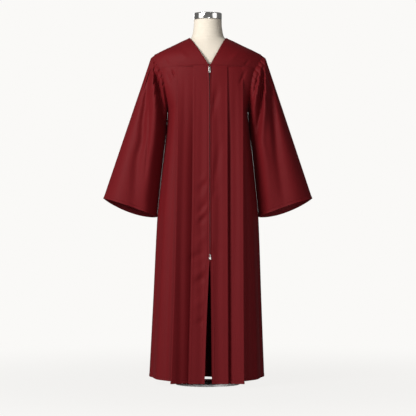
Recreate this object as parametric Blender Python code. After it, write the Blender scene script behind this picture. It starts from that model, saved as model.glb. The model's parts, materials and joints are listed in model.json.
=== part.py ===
"""Graduation gown standing on a limbless dress form.

The gown is a set of thin cloth walls: two front yokes and a back yoke over the shoulders,
two front panels with two knife pleats each, one gathered back panel and two open bell
sleeves.  A zip closes the fronts down to a walking slit.  The form is a torso with a
metal-capped neck on a pole and a round base plate.

Metres, +Z up.  The gown faces -Y and its wearer's left side lies at +X.  The origin is the
centre of the base plate's underside.
"""

from collections import namedtuple
from math import asin, atan, cos, pi, radians, sin, sqrt, tau

import bmesh
import bpy
from mathutils import Vector

# ---------------------------------------------------------------------------- sizes

CLOTH = 0.0012              # wall of the panels, yokes and sleeves
SEAM_GAP = 0.0003           # clearance between neighbouring pieces
SEAT_GAP = 0.0003           # clearance of a piece on what carries it

NECK_POINT = (0.068, 1.297)      # x and z where the shoulder seam meets the neckline
SHOULDER_TIP = (0.1985, 1.235)   # x and z of the outer end of the shoulder seam
NECKLINE_BACK = (0.071, 1.290)   # y and z of the neckline at the centre back

CENTRE_FRONT = 0.0065       # x of the zip line at the neck
ZIP_LINE_LOW = 0.0080       # x of the zip line at its lower end
YOKE_DEPTH_Y = -0.112       # y of the front yoke seam at the centre
YOKE_SEAM_Z = 1.189         # z of the front yoke seam at the centre
BACK_SEAM_Y = 0.108         # y of the back yoke seam at the centre
BACK_SEAM_Z = 1.160         # z of the back yoke seam at the centre

ARMHOLE_MID_Z = 1.1300      # middle height of the armhole
ARMHOLE_HALF_Z = 0.1050     # half its height
ARMHOLE_SAG = 0.0060        # how much lower its front and back lie
ARMHOLE_FRONT = 0.076       # its reach towards the front
ARMHOLE_BACK = 0.070        # its reach towards the back
YOKE_TURN = 60.0            # degrees round the armhole, from the tip, where the yokes end
YOKE_STEP = 10.0            # degrees of armhole between two rows of a yoke
PANEL_STEP = 20.0           # degrees of armhole between two rows of a body panel
UNDERARM_Z = ARMHOLE_MID_Z - ARMHOLE_HALF_Z
YOKE_ROWS = 6               # YOKE_TURN / YOKE_STEP
YOKE_BACK_COLUMNS = 40
BACK_ROUNDNESS = 2.3        # 2 is an ellipse, more is squarer
BACK_FLUTES = 7

HEM_FRONT_Z = 0.0150
HEM_SIDE_Z = 0.0320
HEM_BACK_Z = 0.0120
HEM_FRONT_Y = -0.165
HEM_BACK_Y = 0.165

SLIT_TOP_Z = 0.469
ZIP_HALF_GAP = 0.0015       # half the gap between the front edges along the zip
SLIT_HEM = {"left": 0.0153, "right": -0.0124}   # x of each front edge at the hem

CUFF_OUTER = (0.391, 0.696)      # x and z of the cuff's outer corner
CUFF_INNER = (0.1955, 0.627)     # x and z of its inner corner
CUFF_HALF_DEPTH = 0.075
CUFF_LIFT = 0.006                # arch of the front edge
CUFF_DROP = 0.020                # sag of the back edge
SLEEVE_PUFF = 0.011              # how far the gathered head stands out
PUFF_LENGTH = 0.045              # share of the sleeve over which it swells

TAPE_WIDTH = 0.024
TAPE_THICK = 0.0010
COIL_WIDTH = 0.0022
COIL_THICK = 0.0012
SLIDER_SIZE = (0.0080, 0.0026, 0.0110)
SLIDER_Z = 1.1765
BRIDGE_WIDTH = 0.0020
BRIDGE_BAR = 0.0010
BRIDGE_SPAN = 0.0060
PIVOT_ROOM = 0.0028         # room between the slider's face and its bridge
TAB_THICK = 0.0010
TAB_LENGTH = 0.0175
TAB_TOP_WIDTH = 0.0062
TAB_END_WIDTH = 0.0100
TAB_EYE = (0.0032, 0.0046)
STOP_SIZE = (0.0075, 0.0030, 0.0200)

CAP_RADIUS = 0.0523
CAP_HEIGHT = 0.0257
CAP_EDGE = 0.0030
NECK_TOP_Z = 1.365
FORM_BOTTOM_Z = 0.620
POLE_X = 0.045
POLE_RADIUS = 0.0125
POLE_BORE = 0.0110
BASE_RADIUS = 0.120
BASE_THICK = 0.008
BASE_EDGE = 0.002

# ---------------------------------------------------------------------------- tables

Turn = namedtuple("Turn", "degrees x")
ARMHOLE_X = [               # how far out the armhole seam lies on its way round
    Turn(0, SHOULDER_TIP[0]),
    Turn(30, 0.1965),
    Turn(50, 0.1840),
    Turn(60, 0.1745),
    Turn(70, 0.1680),
    Turn(90, 0.1610),
    Turn(130, 0.1525),
    Turn(180, 0.1495),
]

SideSeam = namedtuple("SideSeam", "z left right")
SIDE_SEAM = [               # half-width of the body at the wearer's left and right seams
    SideSeam(UNDERARM_Z, 0.1495, 0.1495),
    SideSeam(0.950, 0.1500, 0.1490),
    SideSeam(0.860, 0.1650, 0.1600),
    SideSeam(0.750, 0.1760, 0.1750),
    SideSeam(0.630, 0.1890, 0.1885),
    SideSeam(0.300, 0.2010, 0.2050),
    SideSeam(HEM_SIDE_Z, 0.2110, 0.2190),
]

Pleat = namedtuple("Pleat", "fold_top fold_hem underlay step_top step_hem sink_top sink_hem")
PLEATS = {                  # knife pleats from the zip outwards: fold, hidden underlay, layer steps
    "left": [
        Pleat(0.0730, 0.0760, 0.020, 0.0022, 0.0050, 0.0022, 0.0050),
        Pleat(0.1310, 0.1340, 0.018, 0.0022, 0.0055, 0.0022, 0.0290),
    ],
    "right": [
        Pleat(0.0520, 0.0690, 0.018, 0.0022, 0.0045, 0.0022, 0.0045),
        Pleat(0.1120, 0.1370, 0.018, 0.0022, 0.0055, 0.0022, 0.0270),
    ],
}

SleeveFold = namedtuple("SleeveFold", "face x_top z_top x_mid z_mid x_end z_end width height")
SLEEVE_FOLDS = {            # main folds: centre line from the front, half-width, height out of the cloth
    "right": [
        SleeveFold("front", 0.206, 1.205, 0.220, 1.050, 0.258, 0.750, 0.016, 0.0100),
        SleeveFold("front", 0.212, 1.180, 0.252, 1.000, 0.292, 0.740, 0.015, -0.0090),
        SleeveFold("front", 0.176, 1.150, 0.186, 1.000, 0.165, 0.860, 0.013, -0.0080),
        SleeveFold("front", 0.192, 1.100, 0.208, 0.900, 0.222, 0.720, 0.012, 0.0060),
        SleeveFold("front", 0.250, 1.060, 0.300, 0.880, 0.345, 0.700, 0.020, 0.0060),
        SleeveFold("back", 0.205, 1.190, 0.232, 1.000, 0.262, 0.700, 0.018, 0.0100),
        SleeveFold("back", 0.188, 1.150, 0.200, 0.980, 0.222, 0.720, 0.014, -0.0080),
        SleeveFold("back", 0.222, 1.150, 0.272, 0.960, 0.318, 0.700, 0.018, -0.0080),
    ],
    "left": [
        SleeveFold("front", 0.207, 1.190, 0.204, 1.030, 0.190, 0.860, 0.016, 0.0100),
        SleeveFold("front", 0.222, 1.180, 0.240, 0.980, 0.262, 0.780, 0.016, -0.0090),
        SleeveFold("front", 0.200, 1.170, 0.186, 1.020, 0.172, 0.880, 0.011, -0.0070),
        SleeveFold("front", 0.238, 1.100, 0.290, 0.900, 0.330, 0.700, 0.022, 0.0070),
        SleeveFold("back", 0.206, 1.190, 0.226, 1.000, 0.252, 0.700, 0.018, 0.0100),
        SleeveFold("back", 0.190, 1.150, 0.202, 0.980, 0.220, 0.720, 0.013, -0.0080),
        SleeveFold("back", 0.226, 1.150, 0.280, 0.950, 0.326, 0.700, 0.018, -0.0080),
    ],
}

Ring = namedtuple("Ring", "z half_width front back squareness")
TORSO = [                   # horizontal sections of the form, from the neck down
    Ring(NECK_TOP_Z, 0.0520, 0.0520, 0.0520, 2.0),
    Ring(1.3400, 0.0525, 0.0525, 0.0525, 2.0),
    Ring(1.3180, 0.0560, 0.0560, 0.0560, 2.0),
    Ring(1.3020, 0.0600, 0.0580, 0.0570, 2.0),
    Ring(1.2960, 0.0650, 0.0600, 0.0585, 1.9),
    Ring(1.2900, None, 0.0620, 0.0600, 1.7),
    Ring(1.2820, None, 0.0660, 0.0640, 1.65),
    Ring(1.2700, None, 0.0730, 0.0700, 1.7),
    Ring(1.2550, None, 0.0800, 0.0770, 1.8),
    Ring(1.2400, 0.1700, 0.0860, 0.0830, 1.9),
    Ring(1.2200, 0.1780, 0.0920, 0.0900, 2.1),
    Ring(1.1900, 0.1785, 0.0970, 0.0950, 2.3),
    Ring(1.1500, 0.1670, 0.1020, 0.0960, 2.3),
    Ring(1.1000, 0.1510, 0.1080, 0.0980, 2.3),
    Ring(1.0500, 0.1400, 0.1100, 0.0960, 2.3),
    Ring(0.9900, 0.1330, 0.1030, 0.0900, 2.3),
    Ring(0.9200, 0.1260, 0.0930, 0.0840, 2.2),
    Ring(0.8500, 0.1340, 0.0970, 0.0940, 2.2),
    Ring(0.7700, 0.1480, 0.1030, 0.1080, 2.2),
    Ring(0.7000, 0.1540, 0.1050, 0.1120, 2.2),
    Ring(0.6400, 0.1520, 0.1000, 0.1070, 2.2),
    Ring(FORM_BOTTOM_Z, 0.1440, 0.0930, 0.0990, 2.2),
]

# Heights of the panel rows that end on the side seam, below those that end on the armhole.
SEAM_ROWS = [0.950, 0.850, 0.720, 0.590, SLIT_TOP_Z, 0.300, 0.140]

BURGUNDY = (0.130, 0.012, 0.020, 1.0)
ZIP_BLACK = (0.020, 0.008, 0.009, 1.0)
LINEN = (0.880, 0.820, 0.700, 1.0)
STEEL_GREY = (0.560, 0.550, 0.530, 1.0)
WHITE = (0.860, 0.860, 0.850, 1.0)

# ---------------------------------------------------------------------------- small maths


def mix(a, b, share):
    return a + (b - a) * share


def ease(low, high, value):
    """Smooth step from 0 at low to 1 at high."""
    share = min(1.0, max(0.0, (value - low) / (high - low)))
    return share * share * (3.0 - 2.0 * share)


def lookup(rows, key, column, value):
    """Smooth reading of one column of a table at a value of its key column."""
    rows = sorted(rows, key=lambda row: getattr(row, key))
    keys = [getattr(row, key) for row in rows]
    ends = [getattr(row, column) for row in rows]
    if value <= keys[0]:
        return ends[0]
    if value >= keys[-1]:
        return ends[-1]
    i = max(k for k in range(len(keys) - 1) if keys[k] <= value)
    slopes = []
    for k in (i, i + 1):
        low = max(0, k - 1)
        high = min(len(keys) - 1, k + 1)
        slopes.append((ends[high] - ends[low]) / (keys[high] - keys[low]))
    span = keys[i + 1] - keys[i]
    t = (value - keys[i]) / span
    return (
        (2 * t ** 3 - 3 * t ** 2 + 1) * ends[i]
        + (t ** 3 - 2 * t ** 2 + t) * span * slopes[0]
        + (3 * t ** 2 - 2 * t ** 3) * ends[i + 1]
        + (t ** 3 - t ** 2) * span * slopes[1]
    )


def side_sign(side):
    return 1.0 if side == "left" else -1.0


def mirrored(point, side):
    return Vector((point.x * side_sign(side), point.y, point.z))


# ---------------------------------------------------------------------------- making objects


def clear_scene():
    for item in list(bpy.data.objects):
        bpy.data.objects.remove(item, do_unlink=True)


def material(name, colour, roughness, metallic=0.0):
    made = bpy.data.materials.new(name)
    made.use_nodes = True
    shader = made.node_tree.nodes["Principled BSDF"]
    shader.inputs["Base Color"].default_value = colour
    shader.inputs["Roughness"].default_value = roughness
    shader.inputs["Metallic"].default_value = metallic
    made.diffuse_color = colour
    return made


def object_from(name, bm, colour, roughness, metallic=0.0, smooth_angle=None):
    """Turns a finished bmesh into a named object with its own material."""
    bmesh.ops.recalc_face_normals(bm, faces=bm.faces)
    mesh = bpy.data.meshes.new(name)
    bm.to_mesh(mesh)
    bm.free()
    mesh.materials.append(material(name, colour, roughness, metallic))
    if smooth_angle is not None:
        mesh.shade_smooth()
        mesh.set_sharp_from_angle(angle=radians(smooth_angle))
    made = bpy.data.objects.new(name, mesh)
    bpy.context.scene.collection.objects.link(made)
    return made


def wall_offset(before, here, after, down):
    """Mitred half-wall at one point of a cloth row."""
    normals = []
    for start, end in ((before, here), (here, after)):
        along = end - start
        if along.length > 1e-9:
            normals.append(along.cross(down).normalized())
    total = normals[0] + normals[-1]
    direction = total.normalized()
    return direction * (CLOTH / 2.0) / max(0.5, direction.dot(normals[0]))


def cloth_wall(rows, closed=False):
    """Closed solid of one cloth thickness about a grid of points, rows running across."""
    bm = bmesh.new()
    count = len(rows[0])
    outer = []
    inner = []
    for i, row in enumerate(rows):
        above = rows[max(0, i - 1)]
        below = rows[min(len(rows) - 1, i + 1)]
        outer.append([])
        inner.append([])
        for j, point in enumerate(row):
            before = row[(j - 1) % count] if closed else row[max(0, j - 1)]
            after = row[(j + 1) % count] if closed else row[min(count - 1, j + 1)]
            shift = wall_offset(before, point, after, below[j] - above[j])
            outer[-1].append(bm.verts.new(point + shift))
            inner[-1].append(bm.verts.new(point - shift))
    spans = count if closed else count - 1
    for i in range(len(rows) - 1):
        for j in range(spans):
            k = (j + 1) % count
            for grid, flip in ((outer, False), (inner, True)):
                for corners in (
                    (grid[i][j], grid[i + 1][j], grid[i + 1][k]),
                    (grid[i][j], grid[i + 1][k], grid[i][k]),
                ):
                    bm.faces.new(reversed(corners) if flip else corners)
    for i in (0, len(rows) - 1):
        for j in range(spans):
            k = (j + 1) % count
            bm.faces.new((outer[i][j], outer[i][k], inner[i][k], inner[i][j]))
    if not closed:
        for j in (0, count - 1):
            for i in range(len(rows) - 1):
                bm.faces.new((outer[i][j], outer[i + 1][j], inner[i + 1][j], inner[i][j]))
    return bm


def block(bm, centre, size):
    """Adds a box to a bmesh and returns its vertices."""
    made = bmesh.ops.create_cube(bm, size=1.0)["verts"]
    bmesh.ops.scale(bm, vec=Vector(size), verts=made)
    bmesh.ops.translate(bm, vec=Vector(centre), verts=made)
    return made


def strip_along(points, width, thick):
    """Closed band of a width and thickness along a list of centre points."""
    bm = bmesh.new()
    rings = []
    for i, point in enumerate(points):
        down = (points[min(len(points) - 1, i + 1)] - points[max(0, i - 1)]).normalized()
        out = Vector((0.0, down.z, -down.y)).normalized()
        across = Vector((width / 2.0, 0.0, 0.0))
        rings.append([
            bm.verts.new(point + across * a + out * (thick / 2.0) * b)
            for a, b in ((-1, -1), (1, -1), (1, 1), (-1, 1))
        ])
    for first, second in zip(rings, rings[1:]):
        for j in range(4):
            k = (j + 1) % 4
            bm.faces.new((first[j], first[k], second[k], second[j]))
    bm.faces.new(rings[0])
    bm.faces.new(rings[-1])
    return bm


# ---------------------------------------------------------------------------- the gown's lines


def armhole_curve(turn, face):
    angle = radians(turn)
    reach = -ARMHOLE_FRONT if face == "front" else ARMHOLE_BACK
    edge = -SEAM_GAP / 2.0 if face == "front" else SEAM_GAP / 2.0
    return Vector((
        lookup(ARMHOLE_X, "degrees", "x", turn),
        reach * sin(angle) + edge,
        ARMHOLE_MID_Z + ARMHOLE_HALF_Z * cos(angle) - ARMHOLE_SAG * sin(angle) ** 2,
    ))


def armhole(turn, face):
    """Armhole seam at an angle from the shoulder tip, straight between the rows that meet it."""
    step = YOKE_STEP if turn < YOKE_TURN else PANEL_STEP
    low = step * (turn // step)
    high = min(180.0, low + step)
    if high == low:
        return armhole_curve(low, face)
    return armhole_curve(low, face).lerp(armhole_curve(high, face), (turn - low) / (high - low))


def yoke_front_point(u, v, side):
    """Front yoke: u from the neck edge to the armhole, v from the shoulder to the yoke seam."""
    drop = 1.0 - cos(pi * v / 2.0)
    inner = front_edge(YOKE_SEAM_Z, side)
    neck = Vector((
        mix(NECK_POINT[0], inner, drop),
        YOKE_DEPTH_Y * sin(pi * v / 2.0) - SEAM_GAP / 2.0,
        mix(NECK_POINT[1], YOKE_SEAM_Z, drop),
    ))
    arm = armhole(YOKE_TURN * v, "front")
    return Vector((
        mix(neck.x, arm.x, u),
        mix(neck.y, arm.y, u ** 2.2),
        mix(neck.z, arm.z, u ** (1.0 + 0.5 * v)),
    ))


def yoke_seam(x, side):
    """Front yoke seam at a distance from the middle towards one side: its y and z."""
    inner = front_edge(YOKE_SEAM_Z, side)
    arm = armhole(YOKE_TURN, "front")
    point = yoke_front_point(min(1.0, max(0.0, (x - inner) / (arm.x - inner))), 1.0, side)
    return point.y, point.z


def hang(z, top):
    """Share of the way from the seam's depth to the hem's depth at a height."""
    return max(0.0, (top - z) / (top - HEM_FRONT_Z)) ** 0.7


def front_y(x, z, side):
    """Depth of the front's outer layer at a distance from the middle towards one side."""
    seam_y, seam_z = yoke_seam(x, side)
    hem_y = HEM_FRONT_Y - 0.003 * (x / 0.13) ** 2
    return mix(seam_y, hem_y, hang(z, seam_z))


def side_end(z, side):
    """Half-width of the body at the side seam."""
    return lookup(SIDE_SEAM, "z", side, z)


def section_to(end, root, share, roundness):
    """Point on a rounded section that leaves root across the body and passes through end."""
    fall = abs(end.y / root.y) ** roundness
    half = (end.x - root.x) / (1.0 - fall) ** (1.0 / roundness)
    last = asin(((end.x - root.x) / half) ** (roundness / 2.0))
    angle = last * share
    x = root.x + half * sin(angle) ** (2.0 / roundness)
    y = root.y * cos(angle) ** (2.0 / roundness)
    return x, y, angle


def zip_x(z):
    return mix(CENTRE_FRONT, ZIP_LINE_LOW, (YOKE_SEAM_Z - z) / (YOKE_SEAM_Z - SLIT_TOP_Z))


def front_edge(z, side):
    """Distance of a front panel's inner edge from the middle, counted towards its own side."""
    if z >= SLIT_TOP_Z:
        return side_sign(side) * zip_x(z) + ZIP_HALF_GAP
    share = (SLIT_TOP_Z - z) / (SLIT_TOP_Z - HEM_FRONT_Z)
    start = side_sign(side) * ZIP_LINE_LOW + ZIP_HALF_GAP
    return mix(start, side_sign(side) * SLIT_HEM[side], share ** 0.8)


# ---------------------------------------------------------------------------- body panels


def front_row(side, z_end, end, is_top, is_hem):
    """One row of a front panel from the zip edge to the armhole or side seam."""
    share = max(0.0, (YOKE_SEAM_Z - z_end) / (YOKE_SEAM_Z - HEM_FRONT_Z))
    first, second = PLEATS[side]
    folds = [mix(pleat.fold_top, pleat.fold_hem, share) for pleat in (first, second)]
    steps = [mix(pleat.step_top, pleat.step_hem, share ** 0.5) for pleat in (first, second)]
    sinks = [mix(pleat.sink_top, pleat.sink_hem, share ** 0.8) for pleat in (first, second)]

    def at(x, depth, z=None):
        height = z_end if z is None else z
        if is_top:
            height = yoke_seam(x, side)[1] - SEAM_GAP
        if is_hem and z is None:
            height = HEM_FRONT_Z
        return Vector((x, front_y(x, height, side) + depth, height))

    edge = front_edge(HEM_FRONT_Z if is_hem else z_end, side)
    points = [at(mix(edge, folds[0], k / 4.0), 0.0) for k in range(5)]
    points.append(at(folds[0], steps[0]))
    points.append(at(folds[0] - first.underlay, steps[0]))
    start = folds[0] - first.underlay
    layer = steps[0] + sinks[0]
    for k in range(6):
        along = k / 5.0
        points.append(at(mix(start, folds[1], along), layer * (1.0 - along ** 2)))
    points.append(at(folds[1], steps[1]))
    points.append(at(folds[1] - second.underlay, steps[1]))
    root = at(folds[1] - second.underlay, steps[1] + sinks[1])
    points.append(root)
    flute = mix(0.0, 0.005, ease(0.02, 0.5, share))
    for k in range(1, 9):
        x, y, angle = section_to(end, root, k / 8.0, 2.0)
        ripple = flute * sin(tau * 1.5 * k / 8.0) * sin(pi * k / 8.0)
        x += ripple * sin(angle)
        y -= ripple * cos(angle)
        if is_top:
            z = yoke_seam(x, side)[1] - SEAM_GAP
        elif is_hem:
            z = mix(HEM_FRONT_Z + 0.004, HEM_SIDE_Z, sin(angle) ** 2)
        else:
            z = z_end
        points.append(Vector((x, y, z)))
    return [mirrored(point, side) for point in points]


def panel_ends(side, face):
    """Outer end of each row of a body panel, down the armhole and then the side seam."""
    half_gap = -SEAM_GAP / 2.0 if face == "front" else SEAM_GAP / 2.0
    rows = round((180.0 - YOKE_TURN) / PANEL_STEP)
    ends = [armhole(YOKE_TURN + PANEL_STEP * k, face) for k in range(rows + 1)]
    for z in SEAM_ROWS + [HEM_SIDE_Z]:
        ends.append(Vector((side_end(z, side), half_gap, z)))
    return ends


def front_panel(side):
    ends = panel_ends(side, "front")
    rows = []
    for i, end in enumerate(ends):
        rows.append(front_row(side, end.z, end, i == 0, i == len(ends) - 1))
    return object_from("front_" + side, cloth_wall(rows), BURGUNDY, 0.75)


def back_seam_point(u):
    """Back yoke seam, u from -1 at the wearer's right armhole to 1 at the left one."""
    arm = armhole(YOKE_TURN, "back")
    side = 1.0 if u >= 0.0 else -1.0
    x, y, _ = section_to(arm, Vector((0.0, BACK_SEAM_Y, 0.0)), abs(u), BACK_ROUNDNESS)
    return Vector((side * x, y, mix(BACK_SEAM_Z, arm.z, u * u)))


def back_panel():
    columns = YOKE_BACK_COLUMNS
    lefts = panel_ends("left", "back")
    rights = panel_ends("right", "back")
    last = len(lefts) - 1
    rows = []
    for i, (left, right) in enumerate(zip(lefts, rights)):
        share = max(0.0, (BACK_SEAM_Z - left.z) / (BACK_SEAM_Z - HEM_BACK_Z))
        centre_y = mix(BACK_SEAM_Y, HEM_BACK_Y, share ** 0.6)
        swing = mix(0.0015, 0.0100, ease(0.0, 0.7, share))
        row = []
        for j in range(columns + 1):
            u = mix(-1.0, 1.0, j / columns)
            end = left if u >= 0.0 else right
            x, y, angle = section_to(end, Vector((0.0, centre_y, 0.0)), abs(u), BACK_ROUNDNESS)
            wave = swing * cos(2.0 * BACK_FLUTES * angle) * (1.0 - u ** 4)
            if i == 0:
                point = back_seam_point(u)
                point.z -= 1.5 * SEAM_GAP
                point.y += wave
            else:
                side = 1.0 if u >= 0.0 else -1.0
                z = mix(left.z, HEM_BACK_Z, cos(angle)) if i == last else left.z
                point = Vector((side * (x + wave * sin(angle)), y + wave * cos(angle), z))
            row.append(point)
        rows.append(row)
    return object_from("back", cloth_wall(rows), BURGUNDY, 0.75)


# ---------------------------------------------------------------------------- yokes


def yoke_front(side):
    rows = []
    for i in range(YOKE_ROWS + 1):
        v = i / YOKE_ROWS
        rows.append([mirrored(yoke_front_point(j / 8.0, v, side), side) for j in range(9)])
    return object_from("yoke_front_" + side, cloth_wall(rows), BURGUNDY, 0.75)


def neck_to_tip(u):
    """Upper edge of the back yoke: neckline for small u, then the shoulder seam."""
    neck_share = 0.4
    size = abs(u)
    sign = 1.0 if u >= 0.0 else -1.0
    edge = SEAM_GAP / 2.0
    if size < neck_share:
        angle = pi / 2.0 * size / neck_share
        lift = cos(angle)
        return Vector((
            sign * NECK_POINT[0] * sin(angle),
            edge + NECKLINE_BACK[0] * lift,
            mix(NECK_POINT[1], NECKLINE_BACK[1], lift),
        ))
    share = (size - neck_share) / (1.0 - neck_share)
    return Vector((
        sign * mix(NECK_POINT[0], SHOULDER_TIP[0], share),
        edge,
        mix(NECK_POINT[1], SHOULDER_TIP[1], share),
    ))


def yoke_back_point(u, v):
    top = neck_to_tip(u)
    low = back_seam_point(u)
    drop = 1.0 - cos(pi * v / 2.0)
    return Vector((
        mix(top.x, low.x, drop),
        mix(top.y, low.y, sin(pi * v / 2.0)),
        mix(top.z, low.z, drop),
    ))


def yoke_back():
    columns = YOKE_BACK_COLUMNS
    rows = []
    for i in range(YOKE_ROWS + 1):
        v = i / YOKE_ROWS
        arm = armhole(YOKE_TURN * v, "back")
        row = []
        for j in range(columns + 1):
            u = mix(-1.0, 1.0, j / columns)
            point = yoke_back_point(u, v)
            end = yoke_back_point(1.0, v)
            pull = abs(u) ** 4
            side = 1.0 if u >= 0.0 else -1.0
            point += Vector((side * (arm.x - end.x), arm.y - end.y, arm.z - end.z)) * pull
            row.append(point)
        rows.append(row)
    return object_from("yoke_back", cloth_wall(rows), BURGUNDY, 0.75)


# ---------------------------------------------------------------------------- sleeves


def fold_height(fold, x, z):
    """Height of one fold at a place seen from the front."""
    if not min(fold.z_top, fold.z_end) - 0.05 < z < fold.z_top + 0.03:
        return 0.0
    t = (fold.z_top - z) / (fold.z_top - fold.z_end)
    m = (fold.z_top - fold.z_mid) / (fold.z_top - fold.z_end)
    bend = (fold.x_mid - mix(fold.x_top, fold.x_end, m)) / (m * (1.0 - m))
    centre = mix(fold.x_top, fold.x_end, t) + bend * t * (1.0 - t)
    reach = (x - centre) / fold.width
    if abs(reach) >= 1.6:
        return 0.0
    fade = ease(-0.15, 0.12, t) * (1.0 - ease(0.75, 1.2, t))
    return fold.height * fade * (0.5 + 0.5 * cos(pi * reach / 1.6))


def sleeve_point(side, turn, s):
    """Sleeve surface: turn in degrees round the armhole, s from the armhole to the cuff."""
    face = "front" if turn <= 180.0 else "back"
    down_turn = turn if turn <= 180.0 else 360.0 - turn
    head = armhole(down_turn, face)
    under = ease(100.0, 165.0, down_turn)
    head.x += 0.0009 + 0.0006 * ease(40.0, 90.0, down_turn) + 0.0004 * under
    if turn in (0.0, 180.0):
        head.y = 0.0
    angle = radians(turn)
    along = cos(angle)
    centre = [(a + b) / 2.0 for a, b in zip(CUFF_OUTER, CUFF_INNER)]
    half = [(a - b) / 2.0 for a, b in zip(CUFF_OUTER, CUFF_INNER)]
    sag = CUFF_LIFT if face == "front" else -CUFF_DROP
    cuff = Vector((
        centre[0] + half[0] * along,
        -CUFF_HALF_DEPTH * sin(angle),
        centre[1] + half[1] * along + sag * abs(sin(angle)) ** 1.5,
    ))
    point = head.lerp(cuff, s)
    swell = SLEEVE_PUFF * (1.0 - s) * ease(0.0, PUFF_LENGTH, s)
    point.x += swell * mix(0.15, 1.0, (1.0 + along) / 2.0)
    point.y -= swell * 0.8 * sin(angle)
    rise = 0.0
    for fold in SLEEVE_FOLDS[side]:
        if fold.face == face:
            rise += fold_height(fold, point.x, point.z)
    flat = abs(sin(angle)) ** 0.7
    point.y -= rise * flat * (1.0 if face == "front" else -1.0) * ease(0.0, 0.10, s)
    return mirrored(point, side)


def sleeve(side):
    around = 36
    shares = [0.0, 0.02, 0.05, 0.12, 0.21, 0.31, 0.43, 0.56, 0.70, 0.85, 1.0]
    rows = [[sleeve_point(side, 360.0 * j / around, s) for j in range(around)] for s in shares]
    return object_from("sleeve_" + side, cloth_wall(rows, closed=True), BURGUNDY, 0.75)


# ---------------------------------------------------------------------------- zip


def zip_path(depth, z_top, z_low):
    """Points down the zip line, a depth behind the fronts' middle layer, on the fronts' rows."""
    rows = [end.z for end in panel_ends("left", "front") if end.z >= SLIT_TOP_Z - 1e-6]
    rows[0] = YOKE_SEAM_Z - SEAM_GAP
    line = [Vector((zip_x(z), front_y(zip_x(z), z, "left") + depth, z)) for z in rows]
    points = []
    for upper, lower in zip(line, line[1:]):
        for z in (z_top, upper.z, z_low):
            if lower.z < z <= upper.z and z_low <= z <= z_top:
                point = upper.lerp(lower, (upper.z - z) / (upper.z - lower.z))
                if not points or points[-1].z - z > 1e-6:
                    points.append(point)
    return points


def zip_tape():
    depth = CLOTH / 2.0 + SEAM_GAP + TAPE_THICK / 2.0
    points = zip_path(depth, YOKE_SEAM_Z - 0.002, SLIT_TOP_Z + 0.001)
    return object_from("zip_tape", strip_along(points, TAPE_WIDTH, TAPE_THICK), ZIP_BLACK, 0.8)


def zip_coil():
    depth = CLOTH / 2.0 - COIL_THICK / 2.0
    points = zip_path(depth, YOKE_SEAM_Z - 0.004, SLIT_TOP_Z + 0.002)
    return object_from("zip_coil", strip_along(points, COIL_WIDTH, COIL_THICK), ZIP_BLACK, 0.5)


def zip_seat(z, length):
    """Place and tilt of a metal piece that lies on the zip: centre of its back, and its angle."""
    depth = -CLOTH / 2.0 - SEAT_GAP
    path = zip_path(depth, z + length / 2.0, z - length / 2.0)
    top, low = path[0], path[-1]
    lean = (low.y - top.y) / (top.z - low.z)
    bulge = max((top.lerp(low, (top.z - p.z) / (top.z - low.z)).y - p.y for p in path), default=0.0)
    centre = top.lerp(low, 0.5)
    centre.y -= bulge
    return centre, atan(lean)


def pivot_point():
    """Centre of the pull tab's cross bar, between the slider and its bridge."""
    centre, lean = zip_seat(SLIDER_Z, SLIDER_SIZE[2])
    reach = SLIDER_SIZE[1] + PIVOT_ROOM / 2.0
    return centre + Vector((0.0, -reach * cos(lean), -reach * sin(lean)))


def zip_slider():
    """Slider body with a bridge over the pull tab's cross bar, modelled about its back face."""
    bm = bmesh.new()
    block(bm, (0.0, -SLIDER_SIZE[1] / 2.0, 0.0), SLIDER_SIZE)
    corners = [edge for edge in bm.edges if abs(edge.verts[0].co.y - edge.verts[1].co.y) > 0.001]
    bmesh.ops.bevel(bm, geom=corners, offset=0.0018, segments=3, affect="EDGES", profile=0.5)
    front = -SLIDER_SIZE[1]
    face = [f for f in bm.faces if f.calc_center_median().y < front + 1e-6 and len(f.verts) > 4]
    bmesh.ops.delete(bm, geom=face, context="FACES_ONLY")
    rim = [edge for edge in bm.edges if edge.is_boundary]
    half = BRIDGE_WIDTH / 2.0
    levels = (front, front - PIVOT_ROOM, front - PIVOT_ROOM - BRIDGE_BAR)
    foot_edges = []
    legs = []
    for sign in (1.0, -1.0):
        outer = sign * BRIDGE_SPAN / 2.0
        inner = outer - sign * BRIDGE_BAR
        corners = ((-half, outer), (half, outer), (half, inner), (-half, inner))
        foot, under, top = [[bm.verts.new((x, y, z)) for x, z in corners] for y in levels]
        foot_edges += [bm.edges.new((a, b)) for a, b in zip(foot, foot[1:] + foot[:1])]
        bm.faces.new((foot[0], foot[1], top[1], top[0]))
        bm.faces.new((foot[1], foot[2], under[2], top[2], top[1]))
        bm.faces.new((foot[2], foot[3], under[3], under[2]))
        bm.faces.new((foot[3], foot[0], top[0], top[3], under[3]))
        bm.faces.new(top)
        legs.append((foot, under, top))
    (_, under_a, top_a), (_, under_b, top_b) = legs
    bm.faces.new((top_a[3], top_a[2], top_b[2], top_b[3]))
    bm.faces.new((under_a[2], under_a[3], under_b[3], under_b[2]))
    bm.faces.new((top_a[2], under_a[2], under_b[2], top_b[2]))
    bm.faces.new((top_a[3], under_a[3], under_b[3], top_b[3]))
    filled = bmesh.ops.triangle_fill(bm, edges=rim + foot_edges, use_beauty=True)["geom"]
    soles = [f for f in filled if isinstance(f, bmesh.types.BMFace)
             and any(all(v in leg[0] for v in f.verts) for leg in legs)]
    bmesh.ops.delete(bm, geom=soles, context="FACES_ONLY")
    slider = object_from("zip_slider", bm, STEEL_GREY, 0.35, 1.0)
    slider.location, slider.rotation_euler.x = zip_seat(SLIDER_Z, SLIDER_SIZE[2])
    return slider


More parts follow.
